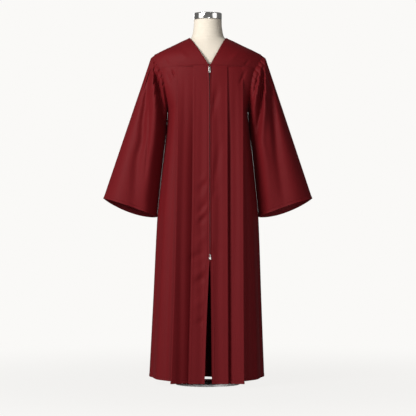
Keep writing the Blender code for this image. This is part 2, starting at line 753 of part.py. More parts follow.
def tab_outline():
    """Half-width of the pull tab at distances below its pivot."""
    length = TAB_LENGTH
    return [
        (-0.0007, TAB_TOP_WIDTH / 2.0 - 0.0006),
        (0.0000, TAB_TOP_WIDTH / 2.0),
        (0.0060, TAB_TOP_WIDTH / 2.0),
        (length * 0.66, TAB_END_WIDTH / 2.0 - 0.0004),
        (length * 0.80, TAB_END_WIDTH / 2.0),
        (length * 0.92, TAB_END_WIDTH / 2.0 - 0.0012),
        (length - 0.0008, TAB_END_WIDTH / 2.0 - 0.0032),
    ]


def zip_pull_tab():
    """Hanging tab with an eye round the slider's bridge; its origin is on the hinge axis."""
    bm = bmesh.new()
    outline = [(-half, -down) for down, half in tab_outline()]
    outline += [(half, -down) for down, half in reversed(tab_outline())]
    eye_top = -0.0007
    eye = [
        (-TAB_EYE[0] / 2.0, eye_top),
        (TAB_EYE[0] / 2.0, eye_top),
        (TAB_EYE[0] / 2.0, eye_top - TAB_EYE[1]),
        (-TAB_EYE[0] / 2.0, eye_top - TAB_EYE[1]),
    ]
    edges = []
    for loop in (outline, eye):
        verts = [bm.verts.new((x, -TAB_THICK / 2.0, z)) for x, z in loop]
        edges += [bm.edges.new((a, b)) for a, b in zip(verts, verts[1:] + verts[:1])]
    bmesh.ops.triangle_fill(bm, edges=edges, use_beauty=True)
    made = bmesh.ops.extrude_face_region(bm, geom=list(bm.faces))
    moved = [item for item in made["geom"] if isinstance(item, bmesh.types.BMVert)]
    bmesh.ops.translate(bm, vec=Vector((0.0, TAB_THICK, 0.0)), verts=moved)
    tab = object_from("zip_pull_tab", bm, STEEL_GREY, 0.35, 1.0)
    tab.location = pivot_point()
    return tab


def zip_bottom_stop():
    bm = bmesh.new()
    block(bm, (0.0, -STOP_SIZE[1] / 2.0, 0.0), STOP_SIZE)
    bmesh.ops.bevel(bm, geom=list(bm.edges), offset=0.0007, segments=2, affect="EDGES", profile=0.5)
    stop = object_from("zip_bottom_stop", bm, STEEL_GREY, 0.35, 1.0, smooth_angle=50)
    stop.location, stop.rotation_euler.x = zip_seat(SLIT_TOP_Z + STOP_SIZE[2] / 2.0 + 0.001, STOP_SIZE[2])
    return stop


# ---------------------------------------------------------------------------- dress form


def shoulder_ridge(z):
    """Half-width of the form along its shoulder line, just under the yokes."""
    slope = (NECK_POINT[1] - SHOULDER_TIP[1]) / (SHOULDER_TIP[0] - NECK_POINT[0])
    clearance = (CLOTH / 2.0 + 1.5 * SEAT_GAP) * sqrt(1.0 + slope ** 2)
    return NECK_POINT[0] + (NECK_POINT[1] - clearance - z) / slope


def form_torso():
    around = 48
    bm = bmesh.new()
    rings = []
    for ring in TORSO:
        half_width = shoulder_ridge(ring.z) if ring.half_width is None else ring.half_width
        power = 2.0 / ring.squareness
        verts = []
        for j in range(around):
            angle = tau * j / around
            c, s = cos(angle), sin(angle)
            x = half_width * abs(c) ** power * (1.0 if c >= 0.0 else -1.0)
            reach = ring.back if s >= 0.0 else -ring.front
            verts.append(bm.verts.new((x, reach * abs(s) ** power, ring.z)))
        rings.append(verts)
    for upper, lower in zip(rings, rings[1:]):
        for j in range(around):
            k = (j + 1) % around
            bm.faces.new((upper[j], upper[k], lower[k], lower[j]))
    bm.faces.new(rings[0])
    bm.faces.new(rings[-1])
    return object_from("form_torso", bm, LINEN, 0.85, smooth_angle=60)


def turned(name, profile, centre, colour, roughness, metallic=0.0, segments=48):
    """Turned piece from (radius, z) points listed round its closed section."""
    bm = bmesh.new()
    closed_on_axis = profile[0][0] == 0.0
    verts = [bm.verts.new((r + centre[0], centre[1], z)) for r, z in profile]
    edges = [bm.edges.new((a, b)) for a, b in zip(verts, verts[1:])]
    if not closed_on_axis:
        edges.append(bm.edges.new((verts[-1], verts[0])))
    bmesh.ops.spin(bm, geom=verts + edges, cent=(centre[0], centre[1], 0.0), axis=(0, 0, 1),
                   angle=tau, steps=segments, use_duplicate=False)
    bmesh.ops.remove_doubles(bm, verts=bm.verts, dist=0.00002)
    return object_from(name, bm, colour, roughness, metallic, smooth_angle=40)


def neck_cap():
    low = NECK_TOP_Z + SEAT_GAP
    top = low + CAP_HEIGHT
    profile = [
        (0.0, low), (CAP_RADIUS - 0.0008, low), (CAP_RADIUS, low + 0.0008), (CAP_RADIUS, top - CAP_EDGE),
        (CAP_RADIUS - CAP_EDGE * 0.3, top - CAP_EDGE * 0.3), (CAP_RADIUS - CAP_EDGE, top), (0.0, top),
    ]
    return turned("neck_cap", profile, (0.0, 0.0), STEEL_GREY, 0.15, 1.0)


def pole():
    low = BASE_THICK + SEAT_GAP
    top = FORM_BOTTOM_Z - SEAT_GAP
    profile = [(POLE_RADIUS, low), (POLE_RADIUS, top), (POLE_BORE, top), (POLE_BORE, low)]
    return turned("stand_pole", profile, (POLE_X, 0.0), WHITE, 0.5, segments=24)


def base():
    profile = [
        (0.0, 0.0), (BASE_RADIUS, 0.0), (BASE_RADIUS, BASE_THICK - BASE_EDGE),
        (BASE_RADIUS - BASE_EDGE, BASE_THICK), (0.0, BASE_THICK),
    ]
    return turned("stand_base", profile, (0.0, 0.0), WHITE, 0.5)


def main():
    clear_scene()
    for side in ("left", "right"):
        yoke_front(side)
        front_panel(side)
        sleeve(side)
    yoke_back()
    back_panel()
    zip_tape()
    zip_coil()
    zip_slider()
    zip_pull_tab()
    zip_bottom_stop()
    form_torso()
    neck_cap()
    pole()
    base()


main()
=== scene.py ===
"""Graduation gown on a limbless dress form, finished for close viewing.

Every cloth piece is laid out as a fine grid on the gown's own lines, creased by listed
folds, and given one thickness of cloth.  Metres unless a table says otherwise, +Z up; the gown
faces -Y and its wearer's left side lies at +X.
"""

import json
from math import atan, cos, pi, radians, sin, tau

import bpy
import numpy as np
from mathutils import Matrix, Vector


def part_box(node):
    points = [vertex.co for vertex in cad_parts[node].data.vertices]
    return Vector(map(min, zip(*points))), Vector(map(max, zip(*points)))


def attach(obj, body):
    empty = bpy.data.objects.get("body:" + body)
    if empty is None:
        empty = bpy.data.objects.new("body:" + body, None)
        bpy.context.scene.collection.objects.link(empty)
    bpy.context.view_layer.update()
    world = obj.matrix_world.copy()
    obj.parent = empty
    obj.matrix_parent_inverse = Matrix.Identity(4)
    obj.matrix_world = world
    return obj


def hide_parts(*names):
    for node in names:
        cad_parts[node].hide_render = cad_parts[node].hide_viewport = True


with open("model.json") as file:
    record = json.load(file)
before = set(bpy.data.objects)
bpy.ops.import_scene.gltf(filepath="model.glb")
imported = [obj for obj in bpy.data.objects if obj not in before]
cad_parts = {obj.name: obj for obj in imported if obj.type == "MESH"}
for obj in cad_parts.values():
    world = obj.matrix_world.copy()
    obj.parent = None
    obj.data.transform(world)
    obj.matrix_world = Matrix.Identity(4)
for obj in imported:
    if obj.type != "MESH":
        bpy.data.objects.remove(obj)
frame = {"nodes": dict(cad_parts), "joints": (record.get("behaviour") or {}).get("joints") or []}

bl_info = {
    "name": "Graduation gown",
    "version": (1, 0, 0),
    "blender": (4, 5, 0),
    "location": "3D View > Sidebar > Gown",
    "description": "Builds a graduation gown with bell sleeves on a dress form",
    "category": "Object",
}

BODY = "gown_and_form"
PULL_BODY = "zip_pull"
HINGE = Vector(frame["joints"][0]["pos_m"])

# ------------------------------------------------------------------------ the gown's lines

NECK_POINT = (0.068, 1.297)      # x and z where the shoulder seam meets the neckline
SHOULDER_TIP = (0.1985, 1.235)   # x and z of the outer end of the shoulder seam
NECKLINE_BACK = (0.071, 1.290)   # y and z of the neckline at the centre back
ZIP_TOP_X = 0.0065               # x of the zip line at the neck
ZIP_LOW_X = 0.0080               # x of the zip line at its lower end
YOKE_DEPTH_Y = -0.112
YOKE_SEAM_Z = 1.189
BACK_SEAM_Y = 0.108
BACK_SEAM_Z = 1.160
ARMHOLE_MID_Z = 1.130
ARMHOLE_HALF_Z = 0.105
ARMHOLE_SAG = 0.006
ARMHOLE_REACH = {"front": -0.076, "back": 0.070}
YOKE_TURN = 60.0                 # degrees round the armhole where the yokes end
UNDERARM_Z = 1.025
HEM_FRONT_Z = 0.015
HEM_SIDE_Z = 0.032
HEM_BACK_Z = 0.012
HEM_FRONT_Y = -0.165
HEM_BACK_Y = 0.165
SLIT_TOP_Z = 0.469
SLIT_HEM = {"left": 0.0153, "right": -0.0124}
CUFF_OUTER = (0.391, 0.696)
CUFF_INNER = (0.1955, 0.627)
CUFF_HALF_DEPTH = 0.075
BACK_ROUNDNESS = 2.3
TROUGH_DEPTH = 1.35              # troughs are deeper than crests are high
HEM_STITCH = 0.009               # height of the hem stitching above the edge
NECK_STITCH = 0.0065             # stitching in from the neckline and the yokes' front edges
SHOULDER_STITCH = 0.0055
SEAM_STITCH = 0.0035             # stitching above the yoke seams
ZIP_STITCH = 0.0062
SLIT_STITCH = 0.0120
YOKE_LAP = 0.0016                # how far a yoke's last row laps down over the panel below
PANEL_TUCK = 0.0020              # how far a panel's first row reaches up under its yoke
SEAM_RISE = 0.0008               # how far a yoke stands out over its seam
SHOULDER_SINK = 0.0009
NECK_SHARE = 0.4                 # share of the back yoke's upper edge that is neckline
SLEEVE_COLUMNS = 276
HEAD_CROWDING = 31.0             # degrees by which columns crowd towards the gathered head
UNDERSIDE_CLEARANCE = 0.0012     # from the side seam's middle layer to the sleeve's
ZIP_MARGIN = 0.018               # length at each end of the zip that has no coil
SLEEVE_GIRTH = 0.55              # length of cloth that the weave counts round a sleeve
HANG_POWER = 0.7                 # how soon the fronts swing out below the yoke seam
SOFTEN_ROWS = (25, 63)           # panel rows about the underarm that are evened out
SOFTEN_PASSES = 40
CLOTH_THREAD = 0.0012            # spacing of the threads drawn in the gown's weave
LINEN_THREAD = 0.0016
GATHER_GAIN = 1.45               # how much deeper the sleeve gathers are than their table
GATHER_REACH = 2.1
DENT_GAIN = 1.5                  # how much higher the fronts' dents are than their table
SMOOTH_ANGLE = radians(60.0)

ARMHOLE_X = [                    # degrees round the armhole from the tip, and distance out
    (0, 0.1985), (30, 0.1965), (50, 0.1840), (60, 0.1745),
    (70, 0.1680), (90, 0.1610), (130, 0.1525), (180, 0.1495),
]
SIDE_SEAM = {                    # height and half-width of the body down each side seam
    "left": [
        (0.032, 0.2110), (0.300, 0.2010), (0.630, 0.1890), (0.750, 0.1775),
        (0.860, 0.1665), (0.950, 0.1545), (1.025, 0.1495),
    ],
    "right": [
        (0.032, 0.2190), (0.300, 0.2050), (0.630, 0.1885), (0.750, 0.1765),
        (0.860, 0.1645), (0.950, 0.1540), (1.025, 0.1495),
    ],
}
PLEATS = {                       # fold top, hem; underlay; step top, hem; sink top, hem
    "left": [
        (0.0730, 0.0760, 0.020, 0.0016, 0.0055, 0.0016, 0.0140),
        (0.1310, 0.1340, 0.018, 0.0014, 0.0055, 0.0016, 0.0290),
    ],
    "right": [
        (0.0520, 0.0690, 0.018, 0.0016, 0.0060, 0.0016, 0.0240),
        (0.1120, 0.1370, 0.018, 0.0014, 0.0055, 0.0016, 0.0270),
    ],
}

# How soon the second strip comes forward again.
STRIP_RETURN = {"left": 2.8, "right": 1.35}

# Folds are lines of (distance out, height, half-width, rise) rows in millimetres, from the top.
SLEEVE_FOLDS = {
    "right": [
        [(200.0, 1222, 4, 0), (199.7, 1194, 5, -7), (196.7, 1157, 6, -11), (188.6, 1107, 8, -14),
         (178.2, 1050, 10, -15), (168.2, 979, 13, -13), (158.1, 935, 14, -8), (152, 880, 15, 0)],
        [(180.4, 1195, 4, 0), (180.4, 1180, 4, -5), (182.3, 1139, 5, -7), (183, 1113, 6, -5),
         (182, 1085, 6, 0)],
        [(209, 1215, 6, 0), (209, 1195, 7, 5), (204.9, 1131, 10, 9), (200.8, 1072, 13, 11),
         (196.7, 1009, 16, 11), (200.8, 905, 18, 9), (210.8, 835, 19, 7), (221.2, 753, 20, 6),
         (229.4, 690, 20, 5)],
        [(213.1, 1218, 4, 0), (213.1, 1198, 4, -6), (221.2, 1154, 7, -8), (231.3, 1113, 9, -9),
         (239.4, 1050, 12, -9), (248, 990, 14, -8), (255.8, 905, 16, -8), (270.2, 853, 18, -7),
         (277.7, 794, 19, -6), (286.2, 690, 20, -3)],
        [(221.2, 1110, 4, 0), (221.2, 1050, 4, -1.5), (221.2, 950, 5, -2.4),
         (227.2, 875, 5, -2.4), (233.1, 812, 6, -1.5), (237.2, 760, 6, 0)],
        [(248, 1110, 16, 0), (270, 1020, 22, 3), (300, 900, 26, 4.5), (325, 780, 28, 4),
         (340, 690, 28, 3)],
    ],
    "left": [
        [(202.7, 1226, 4, 0), (202.7, 1202, 4, -6), (201.6, 1154, 6, -12), (199.3, 1113, 8, -14),
         (194.5, 1072, 9, -15), (189.3, 1020, 11, -15), (182.3, 968, 12, -13),
         (178.9, 935, 13, -8), (175, 880, 14, 0)],
        [(190, 1200, 4, 0), (188.2, 1183, 4, -6), (183.4, 1161, 5, -8), (175.2, 1131, 6, -9),
         (167.8, 1102, 6, -6), (160, 1070, 6, 0)],
        [(195, 1185, 4, 0), (193.4, 1161, 5, 4), (187.5, 1113, 7, 6), (178.9, 1072, 8, 7),
         (167, 1009, 10, 6), (160, 950, 10, 0)],
        [(211.6, 1200, 5, 0), (211.6, 1172, 7, 6), (210.8, 1113, 10, 9), (207.5, 1061, 12, 11),
         (203.4, 1009, 14, 11), (197.5, 957, 15, 10), (197.5, 912, 16, 9), (207.5, 853, 18, 8),
         (216, 794, 19, 7), (223.8, 712, 20, 6), (227.9, 671, 20, 5)],
        [(220, 1205, 4, 0), (223.8, 1172, 7, -7), (230.1, 1113, 9, -9), (232, 1072, 11, -9),
         (236.1, 1009, 13, -9), (240.2, 957, 14, -8), (248.3, 853, 17, -7), (256.5, 794, 18, -6),
         (264.3, 730, 19, -5), (272, 670, 20, -2)],
        [(248, 1110, 16, 0), (268, 1020, 20, 3), (295, 900, 24, 4.5), (320, 780, 28, 4),
         (335, 690, 28, 3)],
    ],
}
GATHERS = [                      # degrees round the sleeve head, depth in mm, share of the length
    (-98, 2.0, 0.07), (-84, 2.8, 0.10), (-71, 2.2, 0.06), (-59, 3.2, 0.12), (-47, 2.4, 0.08),
    (-36, 3.0, 0.11), (-25, 2.0, 0.06), (-15, 2.6, 0.09), (-5, 1.8, 0.05), (6, 2.4, 0.08),
    (17, 3.0, 0.11), (28, 2.2, 0.07), (38, 3.4, 0.13), (49, 2.6, 0.08), (61, 3.2, 0.11),
    (74, 2.4, 0.09), (90, 2.2, 0.07),
]
FRONT_FOLDS = {                  # soft waves down the fronts' pleats
    "right": [
        [(20, 1150, 10, 0), (21, 950, 12, -1), (24, 700, 14, -1.6), (22, 400, 14, -2),
         (26, 15, 16, -1.6)],
        [(85, 1170, 8, 0), (88, 1000, 12, -1.6), (96, 700, 14, -2), (101, 350, 14, -2.6),
         (104, 15, 16, -2.4)],
    ],
    "left": [
        [(34, 1160, 10, 0), (36, 950, 12, -1.2), (41, 650, 14, -1.8), (37, 350, 14, -2.2),
         (42, 15, 16, -1.8)],
        [(100, 1170, 8, 0), (101, 1000, 12, -1.6), (104, 650, 13, -2.4), (100, 300, 14, -2.6),
         (104, 15, 16, -2.2)],
    ],
}
# Dents are slanting ripples in millimetres: two ends (x, z), half-width and rise.
FRONT_DENTS = {
    "right": [
        ((2, 780), (34, 752), 9, 1.2), ((2, 752), (36, 727), 9, -1.8),
        ((2, 712), (34, 690), 10, 1.4), ((2, 678), (33, 648), 8, -2.4),
        ((2, 656), (36, 625), 8, 2.0), ((2, 634), (36, 602), 8, -2.4),
        ((4, 560), (40, 530), 12, 1.6), ((18, 498), (60, 474), 9, -2.4),
        ((6, 440), (48, 415), 10, 1.8), ((6, 408), (51, 382), 9, -2.4),
        ((8, 330), (48, 300), 14, 1.4), ((6, 252), (42, 234), 11, -2.0),
        ((134, 1176), (121, 1146), 4, -3.4), ((150, 1160), (138, 1120), 6, -1.6),
    ],
    "left": [
        ((36, 1100), (12, 1000), 12, -2.2), ((46, 900), (18, 720), 12, -1.8),
        ((12, 700), (40, 740), 12, -1.0), ((12, 520), (52, 490), 12, -1.2),
        ((140, 1170), (118, 1120), 6, -2.0),
    ],
}
YOKE_DENTS = {
    "left": [((150, 1205), (134, 1184), 5, -1.6), ((110, 1235), (85, 1205), 9, 1.0)],
    "right": [((160, 1214), (146, 1190), 6, -1.4), ((105, 1240), (75, 1212), 10, 1.0)],
}
SIDE_FOLDS = [                   # here the first and third numbers are thousandths of a region
    [(200, 1160, 50, 0), (220, 900, 70, -4), (240, 450, 70, -6), (220, 30, 70, -6)],
    [(420, 1120, 60, 0), (440, 800, 80, 4), (460, 400, 90, 6), (460, 30, 90, 7)],
    [(680, 1000, 60, 0), (680, 700, 80, -3), (700, 350, 80, -5), (700, 30, 80, -6)],
]
BACK_GATHERS = [                 # place across the back seam, depth in mm and length in m
    (-0.86, 2.2, 0.09), (-0.75, 3.0, 0.14), (-0.66, 2.0, 0.07), (-0.56, 3.2, 0.17),
    (-0.47, 2.2, 0.09), (-0.39, 3.0, 0.15), (-0.29, 2.0, 0.08), (-0.21, 3.4, 0.18),
    (-0.12, 2.2, 0.08), (-0.03, 3.0, 0.13), (0.06, 2.2, 0.09), (0.15, 3.4, 0.18),
    (0.24, 2.2, 0.08), (0.33, 3.0, 0.15), (0.42, 2.0, 0.09), (0.51, 3.2, 0.16),
    (0.61, 2.2, 0.08), (0.70, 3.0, 0.14), (0.79, 2.0, 0.08), (0.88, 2.6, 0.10),
]
BACK_FOLDS = [                   # soft uneven folds down the back
    [(-90, 1120, 12, 0), (-98, 900, 16, -5), (-110, 500, 18, -7), (-118, 12, 20, -8)],
    [(-35, 1100, 12, 0), (-40, 800, 16, 4), (-48, 400, 18, 7), (-50, 12, 20, 8)],
    [(30, 1110, 12, 0), (26, 850, 15, -5), (22, 450, 18, -7), (18, 12, 20, -7)],
    [(100, 1110, 12, 0), (112, 800, 16, 5), (124, 400, 18, 6), (130, 12, 20, 7)],
]
TORSO = [                        # sections in mm: height, half-width, front, back; squareness
    (1365, 52, 52, 52, 2.0), (1340, 52.5, 52.5, 52.5, 2.0), (1318, 56, 56, 56, 2.0),
    (1302, 60, 58, 57, 2.0), (1296, 65, 60, 58.5, 1.9), (1290, 80.2, 62, 60, 1.7),
    (1282, 97, 66, 64, 1.65), (1270, 122.3, 73, 70, 1.7), (1255, 153.9, 80, 77, 1.8),
    (1240, 170, 86, 83, 1.9), (1220, 178, 92, 90, 2.1), (1190, 178.5, 97, 95, 2.3),
    (1150, 167, 102, 96, 2.3), (1100, 151, 108, 98, 2.3), (1050, 140, 110, 96, 2.3),
    (990, 133, 103, 90, 2.3), (920, 126, 93, 84, 2.2), (850, 134, 97, 94, 2.2),
    (770, 148, 103, 108, 2.2), (700, 154, 105, 112, 2.2), (640, 152, 100, 107, 2.2),
    (620, 144, 93, 99, 2.2),
]
WRINKLES = (                     # height, slant and depth of each crease round the neck
    (1.3150, 0.004, -0.0006), (1.3350, -0.003, -0.0005), (1.3540, 0.002, -0.0004),
)
TAB_WIDTHS = [                   # the pull tab's width at levels below its hinge
    (-0.0175, 0.36), (-0.0160, 0.78), (-0.0140, 1.0), (-0.0115, 0.94), (-0.0060, 0.62),
    (0.0007, 0.56),
]
LIGHTS = (                       # place, target, size and the setting that gives the power
    ("key_light", (-2.45, -2.75, 2.50), (0.0, 0.0, 0.80), (1.4, 1.2), "key_power"),
    ("front_light", (0.90, -4.60, 0.50), (0.0, 0.0, 0.70), (1.4, 0.8), "front_power"),
    ("left_strip", (-3.0, -1.75, 1.60), (0.0, 0.0, 1.0), (2.3, 1.0), "strip_power"),
    ("right_strip", (3.0, -1.75, 1.60), (0.0, 0.0, 1.0), (2.3, 1.0), "strip_power"),
    ("back_light", (-0.60, 5.20, 1.70), (0.0, 0.0, 0.70), (1.6, 1.6), "back_power"),
)

# ---------------------------------------------------------------------------------- settings


def amount(name, description, default, **limits):
    return bpy.props.FloatProperty(name=name, description=description, default=default, **limits)


def length(name, description, default, low, high):
    return amount(name, description, default, min=low, max=high, unit="LENGTH")


def colour(name, description, *rgb):
    return bpy.props.FloatVectorProperty(
        name=name, description=description, subtype="COLOR", size=4, default=rgb + (1.0,),
        min=0.0, max=1.0)


class GownSizes(bpy.types.PropertyGroup):
    cloth: length("Cloth thickness", "Thickness of the gown's cloth", 0.0009, 0.0002, 0.002)
    puff_left: length(
        "Left sleeve puff", "How far the wearer's left sleeve head stands out", 0.013, 0.0, 0.03)
    puff_right: length(
        "Right sleeve puff", "How far the wearer's right sleeve head stands out", 0.01, 0.0, 0.03)
    fold_depth: amount("Fold depth", "Depth of all soft folds", 1.40, min=0.0, max=2.0)
    stitch: length("Stitch length", "Length from one stitch to the next", 0.003, 0.001, 0.006)
    tooth_pitch: length(
        "Tooth pitch", "Distance between two turns of the zip's coil", 0.0015, 0.001, 0.004)


class GownColours(bpy.types.PropertyGroup):
    cloth: colour("Cloth", "Burgundy of the gown", 0.136, 0.0056, 0.0082)
    thread: colour("Thread", "Sewing thread", 0.175, 0.010, 0.014)
    tape: colour("Zip tape", "Woven zip tape", 0.060, 0.010, 0.012)
    coil: colour("Zip coil", "Nylon coil of the zip", 0.055, 0.030, 0.030)
    metal: colour("Zip metal", "Nickelled slider, tab and stop", 0.380, 0.370, 0.350)
    linen: colour("Linen", "Cover of the dress form", 0.800, 0.720, 0.600)
    chrome: colour("Neck cap", "Polished cap of the neck", 0.900, 0.890, 0.870)
    paint: colour("Stand paint", "Powder paint of the pole and base", 0.860, 0.860, 0.850)
    backdrop: colour("Backdrop", "Pale floor and background", 0.956, 0.947, 0.930)


class GownStage(bpy.types.PropertyGroup):
    key_power: amount("Key light", "Power of the large soft light in watts", 160.0, min=0.0)
    strip_power: amount("Strip lights", "Power of each light at the sides", 9.0, min=0.0)
    front_power: amount("Front light", "Power of the low light in front", 46.0, min=0.0)
    back_power: amount("Back light", "Power of the light behind the gown", 110.0, min=0.0)
    ambient: amount("Room light", "Strength of the light from all round", 0.025, min=0.0)
    lens: amount("Lens", "Focal length in millimetres", 161.5, min=20.0, max=400.0)
    distance: amount("Camera distance", "From the lens to the gown's middle", 7.0, unit="LENGTH")
    height: amount("Camera height", "Height of the level camera", 0.66, unit="LENGTH")


def sizes():
    return bpy.context.scene.gown_sizes


def colours():
    return bpy.context.scene.gown_colours


# ------------------------------------------------------------------------------- small maths


def mix(a, b, share):
    return a + (b - a) * share


def ease(low, high, value):
    """Smooth step from 0 at low to 1 at high."""
    share = np.clip((value - low) / (high - low), 0.0, 1.0)
    return share * share * (3.0 - 2.0 * share)


def smooth_line(keys, ends, value):
    """Smooth reading of a table with rising keys."""
    keys = np.asarray(keys, float)
    ends = np.asarray(ends, float)
    slopes = np.empty_like(ends)
    slopes[1:-1] = (ends[2:] - ends[:-2]) / (keys[2:] - keys[:-2])
    slopes[0] = (ends[1] - ends[0]) / (keys[1] - keys[0])
    slopes[-1] = (ends[-1] - ends[-2]) / (keys[-1] - keys[-2])
    value = np.clip(value, keys[0], keys[-1])
    i = np.clip(np.searchsorted(keys, value, side="right") - 1, 0, len(keys) - 2)
    span = keys[i + 1] - keys[i]
    t = (value - keys[i]) / span
    return (
        (2 * t ** 3 - 3 * t ** 2 + 1) * ends[i]
        + (t ** 3 - 2 * t ** 2 + t) * span * slopes[i]
        + (3 * t ** 2 - 2 * t ** 3) * ends[i + 1]
        + (t ** 3 - t ** 2) * span * slopes[i + 1]
    )


def side_sign(side):
    return 1.0 if side == "left" else -1.0


def side_of(u):
    return np.where(u >= 0.0, 1.0, -1.0)


def point_grid(x, y, z):
    return np.stack(np.broadcast_arrays(x, y, z), axis=-1).astype(float)


def folds_at(across, height, lines, drift=0.0):
    """Rise of the cloth at places; troughs drift sideways by a share of their width."""
    rise = np.zeros(np.broadcast(across, height).shape)
    for line in lines:
        rows = np.array(sorted(line, key=lambda row: row[1])) / 1000.0
        keys = rows[:, 1]
        middle = smooth_line(keys, rows[:, 0], height)
        width = np.interp(height, keys, rows[:, 2])
        depth = np.interp(height, keys, rows[:, 3])
        middle = middle + np.where(depth < 0.0, drift * width, 0.0)
        depth = np.where(depth < 0.0, depth * TROUGH_DEPTH, depth)
        rise += depth * np.exp(-((across - middle) / width) ** 2)
    return rise * sizes().fold_depth


def dents_at(across, height, dents):
    """Rise of the cloth from short slanting ripples."""
    rise = np.zeros(np.broadcast(across, height).shape)
    for (x0, z0), (x1, z1), width, depth in dents:
        out, up = across - x0 / 1000.0, height - z0 / 1000.0
        run_x, run_z = (x1 - x0) / 1000.0, (z1 - z0) / 1000.0
        share = np.clip((out * run_x + up * run_z) / (run_x ** 2 + run_z ** 2), 0.0, 1.0)
        away = (out - share * run_x) ** 2 + (up - share * run_z) ** 2
        taper = 0.35 + 0.65 * np.sin(pi * share)
        rise += depth / 1000.0 * taper * np.exp(-away / (width / 1000.0) ** 2)
    return rise * sizes().fold_depth


def grid_normals(grid, closed=False):
    if closed:
        across = np.roll(grid, -1, axis=1) - np.roll(grid, 1, axis=1)
    else:
        across = np.gradient(grid, axis=1)
    normals = np.cross(np.gradient(grid, axis=0), across)
    size = np.linalg.norm(normals, axis=2, keepdims=True)
    return normals / np.maximum(size, 1e-12)


def outward(grid, row, column, front=True, closed=False):
    """Normals out of the gown, judged at one place on its front or back."""
    normals = grid_normals(grid, closed)
    toward = -1.0 if front else 1.0
    return normals if normals[row, column, 1] * toward > 0.0 else -normals


# ------------------------------------------------------------------------ making pieces


def deselect():
    bpy.ops.object.select_all(action="DESELECT")


def take_only(piece):
    deselect()
    piece.select_set(True)
    bpy.context.view_layer.objects.active = piece


def declare(piece, nodes, body=BODY):
    """Puts a finished piece under the body it moves with and hides the CAD parts it stands in
    for.
    """
    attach(piece, body)
    if nodes:
        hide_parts(*nodes)


def grid_mesh(name, grid, runs, seams, inside, closed=False):
    """Open mesh over a grid of points, facing away from the point inside."""
    rows, count = grid.shape[:2]
    spans = count if closed else count - 1
    i, j = np.meshgrid(np.arange(rows - 1), np.arange(spans), indexing="ij")
    k = (j + 1) % count
    ring = ((0, 0), (1, 0), (1, 1), (0, 1))
    corners = np.stack([(i + a) * count + (k if b else j) for a, b in ring], axis=-1)
    places = np.stack([np.stack([i + a, j + b], -1) for a, b in ring], axis=2)
    points = grid.reshape(-1, 3)
    flat = corners.reshape(-1, 4)
    first, second, third, fourth = (points[flat[:, corner]] for corner in range(4))
    normals = np.cross(third - first, fourth - second)
    centres = points[flat].mean(axis=1)
    facing = np.sum(normals * (centres - inside(centres)))
    places = places.reshape(-1, 4, 2)
    if facing < 0.0:
        flat = flat[:, ::-1]
        places = places[:, ::-1]
    mesh = bpy.data.meshes.new(name)
    mesh.vertices.add(len(points))
    mesh.vertices.foreach_set("co", points.ravel())
    mesh.loops.add(flat.size)
    mesh.loops.foreach_set("vertex_index", np.ascontiguousarray(flat).ravel())
    mesh.polygons.add(len(flat))
    mesh.polygons.foreach_set("loop_start", np.arange(0, flat.size, 4))
    mesh.update(calc_edges=True)
    for label, layer in (("weave", runs), ("seams", seams)):
        values = layer[places[..., 0], places[..., 1]]
        mesh.uv_layers.new(name=label).data.foreach_set("uv", values.astype(np.float32).ravel())
    mesh.validate()
    piece = bpy.data.objects.new(name, mesh)
    bpy.context.scene.collection.objects.link(piece)
    return piece


def thicken(piece, thickness, material):
    """Gives an open cloth mesh its thickness, smooth faces and finish."""
    take_only(piece)
    solid = piece.modifiers.new("thickness", "SOLIDIFY")
    solid.thickness = thickness
    solid.offset = 0.0
    solid.use_even_offset = False
    solid.use_rim = True
    bpy.ops.object.modifier_apply(modifier=solid.name)
    bpy.ops.object.shade_smooth_by_angle(angle=SMOOTH_ANGLE)
    piece.data.materials.clear()
    piece.data.materials.append(material)
    return piece


def no_seams(grid, extra=0):
    """Stitch map of a piece with no stitching: every place far from a stitch line."""
    layer = np.full(grid.shape[:2] + (2,), 0.5)
    return np.concatenate([layer] + [layer[:, :1]] * extra, axis=1)


def nearest_stitch(lines):
    """Run and distance to the nearest of several stitch lines, each given as (run, distance)."""
    runs = np.stack([np.broadcast_to(run, away.shape) for run, away in lines])
    aways = np.stack([away for _, away in lines])
    best = np.abs(aways).argmin(axis=0)[None]
    return np.concatenate([
        np.take_along_axis(runs, best, 0), np.take_along_axis(aways, best, 0),
    ]).transpose(1, 2, 0)


# ------------------------------------------------------------------------ finishes


def wired(operation, swapped=False):
    """A method that adds one maths node after a wire."""
    def method(self, other=None):
        pair = (other, self) if swapped else (self, other)
        return self.maths(operation, *pair)
    return method


class Wire:
    """One output of a finish's nodes, used in sums like a number."""

    def __init__(self, finish, socket):
        self.finish = finish
        self.socket = socket

    def maths(self, operation, first, second=None):
        sockets = {0: first} if second is None else {0: first, 1: second}
        return self.finish.node("ShaderNodeMath", {"operation": operation}, sockets)

    __add__ = wired("ADD")
    __radd__ = wired("ADD", swapped=True)
    __sub__ = wired("SUBTRACT")
    __rsub__ = wired("SUBTRACT", swapped=True)
    __mul__ = wired("MULTIPLY")
    __rmul__ = wired("MULTIPLY", swapped=True)
    __truediv__ = wired("DIVIDE")
    __lt__ = wired("LESS_THAN")
    __abs__ = wired("ABSOLUTE")
    wave = wired("SINE")
    part = wired("FRACT")


